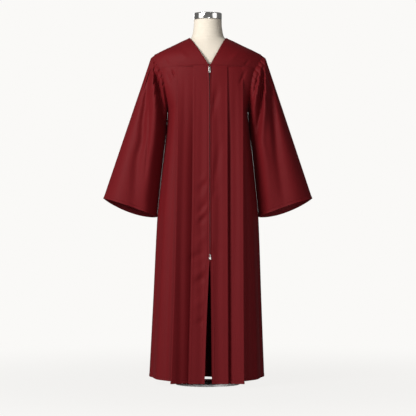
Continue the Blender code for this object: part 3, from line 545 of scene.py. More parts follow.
class Finish:
    """A material put together from nodes."""

    def __init__(self, name):
        self.material = bpy.data.materials.new(name)
        self.material.use_nodes = True
        self.tree = self.material.node_tree
        self.tree.nodes.clear()

    def node(self, kind, settings=None, sockets=None, give=0):
        made = self.tree.nodes.new(kind)
        for label, value in (settings or {}).items():
            setattr(made, label, value)
        for label, value in (sockets or {}).items():
            self.feed(made.inputs[label], value)
        return Wire(self, made.outputs[give])

    def feed(self, socket, value):
        if isinstance(value, Wire):
            self.tree.links.new(value.socket, socket)
        else:
            socket.default_value = value

    def map(self, name):
        """Both directions of one of the piece's own maps."""
        place = self.node("ShaderNodeUVMap", {"uv_map": name})
        split = self.tree.nodes.new("ShaderNodeSeparateXYZ")
        self.tree.links.new(place.socket, split.inputs[0])
        return place, Wire(self, split.outputs["X"]), Wire(self, split.outputs["Y"])

    def blotches(self, place, scale, detail=3.0):
        return self.node(
            "ShaderNodeTexNoise", None, {"Vector": place, "Scale": scale, "Detail": detail})

    def blend(self, share, first, second):
        made = self.tree.nodes.new("ShaderNodeMix")
        made.data_type = "RGBA"
        for number, value in ((0, share), (6, first), (7, second)):
            self.feed(made.inputs[number], value)
        return Wire(self, made.outputs[2])

    def bump(self, millimetres):
        return self.node(
            "ShaderNodeBump", None, {"Strength": 1.0, "Distance": 0.001, "Height": millimetres})

    def surface(self, **sockets):
        shader = self.node("ShaderNodeBsdfPrincipled", None, {
            label.replace("_", " "): value for label, value in sockets.items()})
        self.out(shader)
        return self.material

    def out(self, shader):
        end = self.tree.nodes.new("ShaderNodeOutputMaterial")
        self.tree.links.new(shader.socket, end.inputs["Surface"])


def shade(colour, factor):
    return tuple(min(1.0, part * factor) for part in colour[:3]) + (1.0,)


def gown_cloth():
    """Matt polyester with a fine weave, a soft nap, lines of stitching, and painted shade along
    the sunken stitch lines.
    """
    if "burgundy_polyester" in bpy.data.materials:
        return bpy.data.materials["burgundy_polyester"]
    finish = Finish("burgundy_polyester")
    place, warp, weft = finish.map("weave")
    _, run, away = finish.map("seams")
    weave = (warp * (tau / CLOTH_THREAD)).wave() * (weft * (tau / CLOTH_THREAD)).wave()
    nap = finish.blotches(place, 260.0, 2.0)
    patches = finish.blotches(place, 9.0, 2.0)
    line = abs(away)
    pitch = sizes().stitch
    stitches = (line < 0.00035) * ((run / pitch).part() < 0.72)
    # Sunken groove along each stitch line: it sinks the bump, and it also paints shade into the
    # colour.
    groove_and_painted_shade = finish.node(
        "ShaderNodeMapRange", {"interpolation_type": "SMOOTHSTEP"},
        {"Value": line, "From Min": 0.0, "From Max": 0.0022, "To Min": 1.0, "To Max": 0.0})
    height = weave * 0.012 + nap * 0.05 - groove_and_painted_shade * 0.55 + stitches * 0.30
    main = tuple(colours().cloth)
    cloth = finish.blend(patches * 0.5 + nap * 0.5, shade(main, 0.86), shade(main, 1.12))
    # Painted shade: the cloth colour is darkened along the stitch grooves, where shade would
    # fall.
    cloth = finish.blend(groove_and_painted_shade * 0.25, cloth, shade(main, 0.55))
    cloth = finish.blend(stitches * 0.8, cloth, tuple(colours().thread))
    return finish.surface(
        Base_Color=cloth, Roughness=0.60 + nap * 0.10,
        Sheen_Weight=0.04, Sheen_Roughness=0.45,
        Sheen_Tint=(0.85, 0.32, 0.34, 1.0), Specular_IOR_Level=0.12, Normal=finish.bump(height))


def tape_cloth():
    """Woven zip tape with ribs across it."""
    finish = Finish("ribbed_tape")
    place, across, along = finish.map("weave")
    ribs = (along * (tau / 0.0011)).wave() * 0.05 + (across * (tau / 0.0008)).wave() * 0.03
    fuzz = finish.blotches(place, 400.0)
    main = tuple(colours().tape)
    return finish.surface(
        Base_Color=finish.blend(fuzz, shade(main, 0.75), shade(main, 1.25)),
        Roughness=0.80, Normal=finish.bump(ribs + fuzz * 0.04))


def hard_finish(name, main, roughness, metallic, grain, grain_scale, spread=0.12, **more):
    """Painted, moulded or plated finish with fine wear in its colour, gloss and surface."""
    finish = Finish(name)
    place = finish.node("ShaderNodeTexCoord", None, None, give=3)
    wear = finish.blotches(place, grain_scale, 4.0)
    scuffs = finish.blotches(place, grain_scale * 0.13, 2.0)
    colour = finish.blend(scuffs, shade(main, 1.0 - spread), shade(main, 1.0 + spread * 0.5))
    return finish.surface(
        Base_Color=colour, Roughness=roughness + wear * (roughness * 0.35), Metallic=metallic,
        Normal=finish.bump(wear * grain), **more)


def linen_cover():
    """Plain woven linen with uneven threads and small slubs."""
    finish = Finish("woven_linen")
    place, across, along = finish.map("weave")
    warp = (across * (tau / LINEN_THREAD)).wave()
    weft = (along * (tau / LINEN_THREAD)).wave()
    slubs = finish.node("ShaderNodeTexNoise", None, {
        "Vector": finish.node(
            "ShaderNodeMapping", None, {"Vector": place, "Scale": (60.0, 500.0, 1.0)}),
        "Scale": 1.0, "Detail": 3.0})
    main = tuple(colours().linen)
    colour = finish.blend(slubs, shade(main, 0.93), shade(main, 1.05))
    return finish.surface(
        Base_Color=colour, Roughness=0.85, Sheen_Weight=0.05,
        Normal=finish.bump(warp * weft * 0.04 + slubs * 0.08))


# ------------------------------------------------------------------------ armhole and yokes


def armhole(turn, face):
    """Armhole seam at an angle in degrees from the shoulder tip, on the left side."""
    turn = np.asarray(turn, float)
    angle = np.radians(turn)
    keys, ends = zip(*ARMHOLE_X)
    return point_grid(
        smooth_line(keys, ends, turn),
        ARMHOLE_REACH[face] * np.sin(angle),
        ARMHOLE_MID_Z + ARMHOLE_HALF_Z * np.cos(angle) - ARMHOLE_SAG * np.sin(angle) ** 2,
    )


def zip_x(z):
    return mix(ZIP_TOP_X, ZIP_LOW_X, (YOKE_SEAM_Z - z) / (YOKE_SEAM_Z - SLIT_TOP_Z))


def zip_half_gap(z):
    """Half the gap between the fronts: open over the coil near the neck, nearly closed below."""
    return mix(0.0013, 0.0024, ease(1.118, 1.140, z))


def front_edge(z, side):
    """Distance of a front's inner edge from the middle, counted towards its own side."""
    sign = side_sign(side)
    above = sign * zip_x(z) + zip_half_gap(z)
    share = np.clip((SLIT_TOP_Z - z) / (SLIT_TOP_Z - HEM_FRONT_Z), 0.0, 1.0)
    below = mix(sign * ZIP_LOW_X + zip_half_gap(SLIT_TOP_Z), sign * SLIT_HEM[side], share ** 0.8)
    return np.where(z >= SLIT_TOP_Z, above, below)


def yoke_front_grid(u, v, side):
    """Front yoke: u from the neck edge to the armhole, v from the shoulder to the seam."""
    drop = 1.0 - np.cos(pi * v / 2.0)
    inner = front_edge(YOKE_SEAM_Z, side)
    arm = armhole(YOKE_TURN * v, "front")
    return point_grid(
        mix(mix(NECK_POINT[0], inner, drop), arm[..., 0], u),
        mix(YOKE_DEPTH_Y * np.sin(pi * v / 2.0), arm[..., 1], u ** 2.2),
        mix(mix(NECK_POINT[1], YOKE_SEAM_Z, drop), arm[..., 2], u ** (1.0 + 0.5 * v)),
    )


def yoke_seam(x, side):
    """Depth and height of the front yoke seam at a distance from the middle."""
    inner = front_edge(YOKE_SEAM_Z, side)
    arm = armhole(YOKE_TURN, "front")
    u = np.clip((x - inner) / (arm[0] - inner), 0.0, 1.0)
    return mix(YOKE_DEPTH_Y, arm[1], u ** 2.2), mix(YOKE_SEAM_Z, arm[2], u ** 1.5)


def section_to(end_x, end_y, root_x, root_y, share, roundness):
    """Points on a rounded section that leaves its root across the body and ends at end."""
    fall = np.abs(end_y / root_y) ** roundness
    half = (end_x - root_x) / (1.0 - fall) ** (1.0 / roundness)
    last = np.arcsin(np.clip((end_x - root_x) / half, 0.0, 1.0) ** (roundness / 2.0))
    angle = last * share
    x = root_x + half * np.sin(angle) ** (2.0 / roundness)
    y = root_y * np.clip(np.cos(angle), 0.0, 1.0) ** (2.0 / roundness)
    return x, y, angle


def turned_edge(distance):
    """Extra rise of a doubled, topstitched edge at a distance from it."""
    return 0.0006 * (1.0 - ease(0.0075, 0.0095, distance))


def lengths_along(grid, axis):
    """Distance travelled along an axis of a grid."""
    steps = np.linalg.norm(np.diff(grid, axis=axis), axis=2)
    total = np.cumsum(steps, axis=axis)
    start = np.zeros_like(np.take(total, [0], axis=axis))
    return np.concatenate([start, total], axis=axis)


def measure(grid):
    """Distance travelled across and down a grid, and the distance left to its last row."""
    down = lengths_along(grid, 0)
    return lengths_along(grid, 1), down, down[-1:, :] - down


def sew(name, node, grid, out, down, stitches, inside=None, closed=False):
    """Turns a grid of gown cloth into a finished piece with its lines of stitching."""
    runs = np.stack([out, down], -1)
    piece = grid_mesh(name, grid, runs, nearest_stitch(stitches), inside or body_middle, closed)
    thicken(piece, sizes().cloth, gown_cloth())
    declare(piece, [node])
    return piece


def settled(rows, seam_z, hem_z):
    """Heights of rows that meet the yoke seam at the top and the hem at the foot."""
    top = 1.0 - ease(0.0, 0.10, rows[0] - rows)
    foot = 1.0 - ease(0.0, 0.15, rows - HEM_SIDE_Z)
    return rows + (seam_z - rows[0]) * top + (hem_z - HEM_SIDE_Z) * foot


def front_depth(seam_y, seam_z, z, hem_y=HEM_FRONT_Y):
    """Depth of the fronts' face on its way from the yoke seam to the hem."""
    hang = np.clip((seam_z - z) / (seam_z - HEM_FRONT_Z), 0.0, 1.0) ** HANG_POWER
    return mix(seam_y, hem_y, hang)


def soften(grid, weight):
    """Evens a panel out down its rows, where the armhole turns into the side seam."""
    weight = np.reshape(weight, (1, -1, 1)) * 0.5
    first, end = SOFTEN_ROWS
    for _ in range(SOFTEN_PASSES):
        middle = (grid[first - 1:end - 1] + grid[first + 1:end + 1]) / 2.0
        grid[first:end] += (middle - grid[first:end]) * weight
    return grid


def body_middle(points):
    """Inside point level with each point of the body."""
    middle = np.zeros_like(points)
    middle[:, 2] = np.minimum(points[:, 2], 1.15)
    return middle


def make_yoke_front(side):
    u = np.linspace(0.0, 1.0, 91)[None, :]
    v = np.concatenate([np.linspace(0.0, 1.0, 61), [1.012]])[:, None]
    grid = yoke_front_grid(u, np.minimum(v, 1.0), side)
    grid[-1, :, 2] -= YOKE_LAP
    out, down, left = measure(grid)
    normals = outward(grid, 30, 45)
    dents = dents_at(grid[..., 0], grid[..., 2], YOKE_DENTS[side])
    rise = turned_edge(out) + SEAM_RISE * ease(0.006, 0.0, left) + dents * ease(0.0, 0.02, left)
    rise -= SHOULDER_SINK * ease(0.004, 0.0, down)
    swell = np.sin(pi * u) * np.sin(pi * np.clip(v, 0, 1))
    rise += 0.0012 * swell * np.sin(9.0 * u + 4.0 * v)
    grid += normals * rise[..., None]
    grid[..., 0] *= side_sign(side)
    piece = sew(side + "_front_yoke", "yoke_front_" + side, grid, out, down, [
        (down, out - NECK_STITCH), (out, down - SHOULDER_STITCH), (out, left - SEAM_STITCH)])


def neck_to_tip(u):
    """Upper edge of the back yoke: neckline for small u, then the shoulder seam."""
    size = np.abs(u)
    neck = size < NECK_SHARE
    angle = pi / 2.0 * np.clip(size / NECK_SHARE, 0.0, 1.0)
    share = np.clip((size - NECK_SHARE) / (1.0 - NECK_SHARE), 0.0, 1.0)
    lift = np.cos(angle)
    (neck_x, neck_z), (tip_x, tip_z) = NECK_POINT, SHOULDER_TIP
    x = np.where(neck, neck_x * np.sin(angle), mix(neck_x, tip_x, share))
    y = np.where(neck, NECKLINE_BACK[0] * lift, 0.0)
    z = np.where(neck, mix(neck_z, NECKLINE_BACK[1], lift), mix(neck_z, tip_z, share))
    return point_grid(side_of(u) * x, y, z)


def back_seam(u):
    """Back yoke seam, u from -1 at the wearer's right armhole to 1 at the left one."""
    arm = armhole(YOKE_TURN, "back")
    x, y, _ = section_to(arm[0], arm[1], 0.0, BACK_SEAM_Y, np.abs(u), BACK_ROUNDNESS)
    return point_grid(side_of(u) * x, y, mix(BACK_SEAM_Z, arm[2], u * u))


def make_yoke_back():
    u = np.linspace(-1.0, 1.0, 161)[None, :]
    v = np.append(np.linspace(0.0, 1.0, 45), 1.0)[:, None]
    top = neck_to_tip(u)
    low = back_seam(u)
    drop = (1.0 - np.cos(pi * v / 2.0))[..., None]
    swing = np.sin(pi * v / 2.0)
    grid = top + (low - top) * drop
    grid[..., 1] = mix(top[..., 1], low[..., 1], swing)
    miss = armhole(YOKE_TURN * v, "back") - grid[:, -1:, :]
    miss = miss * np.abs(u)[..., None] ** 4
    miss[..., 0] *= side_of(u)
    grid += miss
    grid[-1, :, 2] -= YOKE_LAP
    out, down, left = measure(grid)
    normals = outward(grid, 40, 100, front=False)
    neck = np.abs(u) < NECK_SHARE
    rise = np.where(neck, turned_edge(down), 0.0) + SEAM_RISE * ease(0.006, 0.0, left)
    rise -= SHOULDER_SINK * ease(0.004, 0.0, down) * ~neck
    swell = np.sin(pi * np.clip(v, 0, 1)) * (1.0 - u ** 4)
    rise += 0.0010 * swell * np.sin(7.0 * u + 3.0 * v)
    grid += normals * rise[..., None]
    piece = sew("back_yoke", "yoke_back", grid, out, down, [
        (out, down - np.where(neck, NECK_STITCH, SHOULDER_STITCH)), (out, left - SEAM_STITCH)])


class GOWN_OT_yokes(bpy.types.Operator):
    """Make the two front yokes and the back yoke"""
    bl_idname = "gown.yokes"
    bl_label = "Yokes"

    def execute(self, context):
        make_yoke_front("left")
        make_yoke_front("right")
        make_yoke_back()
        return {"FINISHED"}


# ------------------------------------------------------------------------ body panels


def panel_ends(side, face):
    """Outer end of each row of a panel, down the armhole and then the side seam."""
    down_armhole = armhole(np.linspace(YOKE_TURN, 180.0, 41), face)
    z = np.concatenate([
        np.linspace(UNDERARM_Z, 0.056, 106)[1:], np.linspace(0.056, HEM_SIDE_Z, 12)[1:],
    ])
    keys, ends = zip(*SIDE_SEAM[side])
    down_side = point_grid(smooth_line(keys, ends, z), 0.0, z)
    return np.concatenate([down_armhole, down_side])


def fold_over(x, depth, radius, ahead):
    """Half-turn of cloth going back from a depth; ahead is 1 where it turns on the far side."""
    angle = np.linspace(0.0, pi, 9 if ahead > 0 else 7)[None, :]
    return x + ahead * radius * np.sin(angle), depth + radius * (1.0 - np.cos(angle))


def front_columns(side, rows_z):
    """Distance out and depth behind the face of every point of a front's pleated strips."""
    share = np.clip((YOKE_SEAM_Z - rows_z) / (YOKE_SEAM_Z - HEM_FRONT_Z), 0.0, 1.0)[:, None]
    start = front_edge(rows_z[:, None], side)
    depth = np.zeros_like(share)
    hidden = 0.0
    xs = []
    depths = []
    for number, pleat in enumerate(PLEATS[side]):
        fold_top, fold_hem, underlay, step_top, step_hem, sink_top, sink_hem = pleat
        fold = mix(fold_top, fold_hem, share ** 2)
        step = mix(step_top, step_hem, share ** 0.5)
        sink = mix(sink_top, sink_hem, ease(0.01, 0.32, share) * 0.85 + share * 0.15)
        radius = step / 2.0
        along = np.linspace(0.0, 1.0, 58 if number == 0 else 66)[None, :]
        xs.append(mix(start, fold - radius, along)[:, :-1])
        reach = np.clip((along - hidden) / (1.0 - hidden), 0.0, 1.0)
        depths.append((depth * (1.0 - reach) ** STRIP_RETURN[side])[:, :-1])
        x, d = fold_over(fold - radius, 0.0, radius, 1.0)
        xs.append(x)
        depths.append(d)
        root = fold - underlay
        turn = np.minimum(sink / 2.0, 0.004)
        xs.append(mix(fold - radius, root + turn, np.linspace(0.0, 1.0, 8)[None, 1:-1]))
        depths.append(np.broadcast_to(step, (len(rows_z), 6)))
        x, d = fold_over(root + turn, step, turn, -1.0)
        xs.append(x)
        depths.append(mix(step, step + sink, (d - step) / (2.0 * turn)))
        start = root + turn
        depth = step + sink
        hidden = 0.24
    return np.concatenate(xs, 1), np.concatenate(depths, 1), start, share


def make_front(side):
    ends = panel_ends(side, "front")
    rows_z = ends[:, 2]
    x, depth, root_x, share = front_columns(side, rows_z)
    strips = x.shape[1]
    seam_y, seam_z = yoke_seam(x, side)
    rows = rows_z[:, None]
    z = settled(rows, seam_z, HEM_FRONT_Z)
    face_y = front_depth(seam_y, seam_z, z, HEM_FRONT_Y - 0.003 * (x / 0.13) ** 2)
    rise = folds_at(x, z, FRONT_FOLDS[side]) + DENT_GAIN * dents_at(x, z, FRONT_DENTS[side])
    edge = x[:, :1]
    rise *= ease(0.0, 0.03, YOKE_SEAM_Z - z) * ease(0.002, 0.016, x - edge)
    rise += 0.0014 * (1.0 - ease(0.0, 0.005, x - edge)) * (np.arange(strips) < 57)
    for fold_top, fold_hem, *_ in PLEATS[side]:
        beyond = x - mix(fold_top, fold_hem, share ** 2)
        reach = np.where(beyond < 0.0, 0.0060, 0.0020)
        rise += 0.0014 * ease(0.0, 0.10, share) * np.exp(-(beyond / reach) ** 2)
    y = face_y + depth - rise
    # The side of the front rounds back from the last pleat to the armhole and side seam.
    root_y = y[:, -1:]
    along = np.linspace(0.0, 1.0, 76)[None, 1:]
    side_x, side_y, angle = section_to(
        ends[:, :1], ends[:, 1:2] - 0.0001, root_x, root_y, along, 2.0)
    flute = 0.0015 * ease(0.02, 0.5, share) * np.sin(tau * 1.5 * along)
    flute = flute + 0.5 * folds_at(along, rows, SIDE_FOLDS) * (0.55 + 0.45 * share)
    flute = flute * np.sin(pi * along)
    side_x = side_x + flute * np.sin(angle)
    side_y = side_y - flute * np.cos(angle)
    hem_z = mix(HEM_FRONT_Z + 0.007, HEM_SIDE_Z, np.sin(angle) ** 2)
    side_z = settled(rows, yoke_seam(side_x, side)[1], hem_z)
    dents = dents_at(side_x, side_z, FRONT_DENTS[side]) * ease(0.0, 0.03, YOKE_SEAM_Z - side_z)
    side_y = side_y - dents
    shown_side = soften(point_grid(side_x, side_y, side_z), 1.0 - along ** 6)
    grid = np.concatenate([point_grid(x, y, z), shown_side], axis=1)
    out, down, left = measure(grid)
    # Doubled hem, and the top edge tucked under the yoke.
    grid += outward(grid, 60, 20) * turned_edge(left)[..., None]
    grid[0, :, 2] += PANEL_TUCK
    grid[:2, :, 1] += 0.0006
    grid[..., 0] *= side_sign(side)
    inset = np.where(rows > SLIT_TOP_Z, ZIP_STITCH, SLIT_STITCH)
    piece = sew(side + "_front", "front_" + side, grid, out, down, [
        (out, left - HEM_STITCH), (down, out - inset)])


def make_back():
    lefts = panel_ends("left", "back")
    rights = panel_ends("right", "back")
    rows_z = lefts[:, 2]
    rows = rows_z[:, None]
    u = np.linspace(-1.0, 1.0, 245)[None, :]
    share = np.clip((BACK_SEAM_Z - rows) / (BACK_SEAM_Z - HEM_BACK_Z), 0.0, 1.0)
    centre_y = mix(BACK_SEAM_Y, HEM_BACK_Y, share ** 0.6)
    end_x, end_y = (np.where(u >= 0.0, lefts[:, k:k + 1], rights[:, k:k + 1]) for k in (0, 1))
    x, y, angle = section_to(end_x, end_y + 0.0001, 0.0, centre_y, np.abs(u), BACK_ROUNDNESS)
    swing = mix(0.0015, 0.0100, ease(0.0, 0.7, share))
    sway = 0.35 * np.sin(3.1 * u + 1.3 * share * 2.0)
    wave = swing * np.cos(14.0 * angle + sway * share)
    wave = wave * (1.0 - u ** 4) * (1.0 + 0.25 * np.sin(5.0 * u + 1.0))
    seam_z = mix(BACK_SEAM_Z, rows_z[0], u * u)
    hem_z = mix(HEM_SIDE_Z, HEM_BACK_Z, np.clip(np.cos(angle), 0.0, 1.0))
    z = settled(rows, seam_z, hem_z)
    below = np.maximum(0.0, seam_z - z)
    for middle, depth, length in BACK_GATHERS:
        narrow = 0.018 + 0.020 * np.clip(below / length, 0.0, 1.5)
        dip = np.exp(-((u - middle) / narrow) ** 2) * np.exp(-(below / length) ** 2)
        wave = wave - depth / 1000.0 * dip
    wave = wave + folds_at(side_of(u) * x, z, BACK_FOLDS) * (1.0 - u ** 4)
    grid = point_grid(side_of(u) * (x + wave * np.sin(angle)), y + wave * np.cos(angle), z)
    grid = soften(grid, 1.0 - np.abs(u) ** 8)
    grid[..., 1] -= 0.0006 * ease(0.006, 0.0, below)
    out, down, left = measure(grid)
    grid += outward(grid, 40, 140, front=False) * turned_edge(left)[..., None]
    grid[0, :, 2] += PANEL_TUCK
    piece = sew("back_panel", "back", grid, out, down, [(out, left - HEM_STITCH)])


class GOWN_OT_body(bpy.types.Operator):
    """Make the two pleated fronts and the gathered back"""
    bl_idname = "gown.body"
    bl_label = "Body panels"

    def execute(self, context):
        make_front("left")
        make_front("right")
        make_back()
        return {"FINISHED"}


# ------------------------------------------------------------------------ sleeves


def sleeve_middle(sign):
    """Inside point for a sleeve: the nearest point on its axis."""
    top = np.array([0.150 * sign, 0.0, 1.130])
    low = np.array([0.293 * sign, 0.0, 0.660])
    run = low - top

    def inside(points):
        share = ((points - top) @ run) / (run @ run)
        return top + np.clip(share, 0.0, 1.0)[:, None] * run
    return inside


def make_sleeve(side):
    count = SLEEVE_COLUMNS
    turn = np.linspace(0.0, 360.0, count + 1)[None, :-1]
    turn = turn - HEAD_CROWDING * np.sin(np.radians(turn))
    t = np.linspace(0.0, 1.0, 116)
    s = np.concatenate([0.965 * t ** 1.25, np.linspace(0.965, 1.0, 12)[1:]])[:, None]
    front = turn <= 180.0
    down_turn = np.where(front, turn, 360.0 - turn)
    angle = np.radians(turn)
    along = np.cos(angle)
    head = np.where(
        front[..., None], armhole(down_turn, "front"), armhole(down_turn, "back"))
    head[..., 0] += 0.0004
    centre = [(a + b) / 2.0 for a, b in zip(CUFF_OUTER, CUFF_INNER)]
    half = [(a - b) / 2.0 for a, b in zip(CUFF_OUTER, CUFF_INNER)]
    sag = np.where(front, 0.006, -0.020)
    cuff = point_grid(
        centre[0] + half[0] * along, -CUFF_HALF_DEPTH * np.sin(angle),
        centre[1] + half[1] * along + sag * np.abs(np.sin(angle)) ** 1.5)
    grid = head + (cuff - head) * s[..., None]
    puff = sizes().puff_left if side == "left" else sizes().puff_right
    swell = puff * (1.0 - s) * ease(0.0, 0.030, s)
    grid[..., 0] += swell * mix(0.15, 1.0, (1.0 + along) / 2.0)
    grid[..., 1] -= swell * 0.8 * np.sin(angle)
    # The underside hangs just clear of the body's side seam.
    under = ((1.0 - along) / 2.0) ** 4
    body_x = smooth_line(*zip(*SIDE_SEAM[side]), grid[:, count // 2, 2])
    gap = grid[:, count // 2, 0] - (body_x + UNDERSIDE_CLEARANCE)
    grid[..., 0] -= under * np.maximum(gap, 0.0)[:, None] * ease(0.0, 0.04, s)
    other = "right" if side == "left" else "left"
    x, z = grid[..., 0], grid[..., 2]
    lean = 0.6 * side_sign(side)
    rise = np.where(
        front, folds_at(x, z, SLEEVE_FOLDS[side], lean),
        0.8 * folds_at(x * 0.985, z, SLEEVE_FOLDS[other], -lean))
    flat = np.abs(np.sin(angle)) ** 0.7
    grid[..., 1] -= rise * flat * np.where(front, 1.0, -1.0) * ease(0.0, 0.08, s)
    normals = outward(grid, 60, 60, closed=True)
    wrapped = np.where(turn > 180.0, turn - 360.0, turn)
    pucker = np.zeros_like(rise)
    for middle, depth, length in GATHERS:
        reach = s / (GATHER_REACH * length)
        width = 1.8 + 1.7 * np.clip(reach, 0.0, 2.0)
        dip = np.exp(-((wrapped - middle) / width) ** 2) * np.exp(-reach ** 2)
        pucker -= GATHER_GAIN * depth / 1000.0 * dip
    pucker *= ease(-0.004, 0.012, s) * (0.75 if side == "left" else 1.0)
    _, down, left = measure(grid)
    pucker += turned_edge(left) + 0.0012 * ease(0.004, 0.0, left)
    grid += normals * pucker[..., None]
    out = SLEEVE_GIRTH / 360.0 * np.append(turn[0], 360.0)[None, :]
    out = np.broadcast_to(out, (len(s), count + 1))
    down, left = (np.concatenate([values, values[:, :1]], 1) for values in (down, left))
    sign = side_sign(side)
    grid[..., 0] *= sign
    piece = sew(
        side + "_sleeve", "sleeve_" + side, grid, out, down, [(out, left - HEM_STITCH)],
        sleeve_middle(sign), closed=True)


class GOWN_OT_sleeves(bpy.types.Operator):
    """Make the two bell sleeves, gathered at the head"""
    bl_idname = "gown.sleeves"
    bl_label = "Sleeves"

    def execute(self, context):
        make_sleeve("left")
        make_sleeve("right")
        return {"FINISHED"}


# ------------------------------------------------------------------------ zip


def zip_face_y(z):
    """Depth of the fronts' middle layer on the zip line."""
    return front_depth(*yoke_seam(zip_x(z), "left"), z)


def make_tape():
    z = np.linspace(YOKE_SEAM_Z - 0.002, SLIT_TOP_Z + 0.001, 200)[:, None]
    across = np.linspace(-0.012, 0.012, 25)[None, :]
    crown = 0.0004 * ease(0.002, 0.006, np.abs(across))
    grid = point_grid(zip_x(z) + across, zip_face_y(z) + 0.0028 - crown * 0.5, z)
    runs = np.stack(np.broadcast_arrays(across + 0.012, YOKE_SEAM_Z - z), -1)
    piece = grid_mesh("woven_zip_tape", grid, runs, no_seams(grid), body_middle)
    thicken(piece, 0.0007, tape_cloth())
    declare(piece, ["zip_tape"])


def block(name, centre, size, bevel, segments=2):
    """Box of a size with rounded edges, ready for more shaping."""
    deselect()
    bpy.ops.mesh.primitive_cube_add(size=1.0, location=centre)
    piece = bpy.context.object
    piece.name = name
    piece.scale = size
    bpy.ops.object.transform_apply(location=True, rotation=True, scale=True)
    bpy.ops.object.mode_set(mode="EDIT")
    bpy.ops.mesh.select_all(action="SELECT")
    bpy.ops.mesh.bevel(offset=bevel, segments=segments, affect="EDGES", profile=0.5)
    bpy.ops.object.mode_set(mode="OBJECT")
    return piece


def join(name, pieces):
    deselect()
    for piece in pieces:
        piece.select_set(True)
    bpy.context.view_layer.objects.active = pieces[0]
    bpy.ops.object.join()
    made = bpy.context.object
    made.name = name
    return made


def set_down(piece, place, lean, material, smooth=35.0):
    """Leans and moves a piece modelled about its own middle, and settles that into its mesh."""
    take_only(piece)
    piece.location = place
    piece.rotation_euler = (lean, 0.0, 0.0)
    bpy.ops.object.transform_apply(location=True, rotation=True, scale=True)
    bpy.ops.object.mode_set(mode="EDIT")
    bpy.ops.mesh.select_all(action="SELECT")
    bpy.ops.mesh.normals_make_consistent(inside=False)
    bpy.ops.object.mode_set(mode="OBJECT")
    bpy.ops.object.shade_smooth_by_angle(angle=radians(smooth))
    piece.data.materials.clear()
    piece.data.materials.append(material)
    return piece


def make_coil():
    """One turn of the coil is shaped once and repeated down both sides of the zip."""
    pitch = sizes().tooth_pitch
    tooth = block("zip_coil_turn", (0.0, 0.0, 0.0), (0.0017, 0.0012, pitch * 0.62), 0.00028, 1)
    shape = np.array([v.co[:] for v in tooth.data.vertices])
    faces = [list(p.vertices) for p in tooth.data.polygons]
    bpy.data.objects.remove(tooth)
    points = []
    polygons = []
    high = YOKE_SEAM_Z - ZIP_MARGIN
    count = int((high - SLIT_TOP_Z - ZIP_MARGIN) / pitch)
    for number in range(count):
        for hand in (-1.0, 1.0):
            z = high - pitch * (number + 0.25 * hand)
            base = len(points)
            y = float(zip_face_y(z)) + 0.0003
            for x0, y0, z0 in shape:
                x = float(zip_x(z)) + hand * 0.0006 + x0
                points.append((x, y + y0, z + z0 + 0.22 * hand * x0))
            polygons += [[base + k for k in face] for face in faces]
    mesh = bpy.data.meshes.new("coil_turns")
    mesh.from_pydata(points, [], polygons)
    mesh.validate()
    piece = bpy.data.objects.new("coil_turns", mesh)
    bpy.context.scene.collection.objects.link(piece)
    take_only(piece)
    bpy.ops.object.shade_smooth_by_angle(angle=radians(40.0))
    mesh.materials.append(
        hard_finish("nylon_coil", tuple(colours().coil), 0.38, 0.0, 0.02, 900.0))
    declare(piece, ["zip_coil"])


def zip_metal():
    if "nickelled_metal" in bpy.data.materials:
        return bpy.data.materials["nickelled_metal"]
    return hard_finish(
        "nickelled_metal", tuple(colours().metal), 0.28, 1.0, 0.02, 700.0, spread=0.25)


def pick_faces(piece, rule):
    """Edit mode with only the faces that a rule picks selected."""
    bpy.ops.object.mode_set(mode="EDIT")
    bpy.ops.mesh.select_all(action="DESELECT")
    bpy.ops.object.mode_set(mode="OBJECT")
    for face in piece.data.polygons:
        face.select = rule(face)
    bpy.ops.object.mode_set(mode="EDIT")


def sink_front(piece, margin):
    """Sinks a shallow panel into the wide front face, a margin in from its edges."""
    pick_faces(piece, lambda face: face.normal.y < -0.95 and face.area > 1e-5)
    bpy.ops.mesh.select_mode(type="FACE")
    bpy.ops.mesh.inset(thickness=margin, depth=0.0)
    bpy.ops.mesh.inset(thickness=0.0003, depth=-0.0003)
    bpy.ops.object.mode_set(mode="OBJECT")


def zip_lean():
    low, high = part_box("zip_slider")
    z = (low.z + high.z) / 2.0
    return atan(float(zip_face_y(z - 0.004) - zip_face_y(z + 0.004)) / 0.008)


def make_slider():
    lean = zip_lean()
    body = block("zip_slider_body", (0.0, -0.0013, 0.0), (0.0080, 0.0024, 0.0110), 0.0007, 3)
    for vertex in body.data.vertices:
        if vertex.co.z < -0.002:
            vertex.co.x *= 1.0 - 0.28 * min(1.0, (-vertex.co.z - 0.002) / 0.0035)
    sink_front(body, 0.0009)
    upper = block("bridge_top", (0.0, -0.0040, 0.0025), (0.0020, 0.0034, 0.0010), 0.0003)
    lower = block("bridge_low", (0.0, -0.0040, -0.0025), (0.0020, 0.0034, 0.0010), 0.0003)
    bar = block("bridge_bar", (0.0, -0.0059, 0.0), (0.0020, 0.0010, 0.0060), 0.0004, 3)
    slider = join("slider", [body, upper, lower, bar])
    seat = HINGE + Vector((0.0, 0.0040 * cos(lean), 0.0040 * sin(lean)))
    set_down(slider, seat, lean, zip_metal())
    declare(slider, ["zip_slider"])


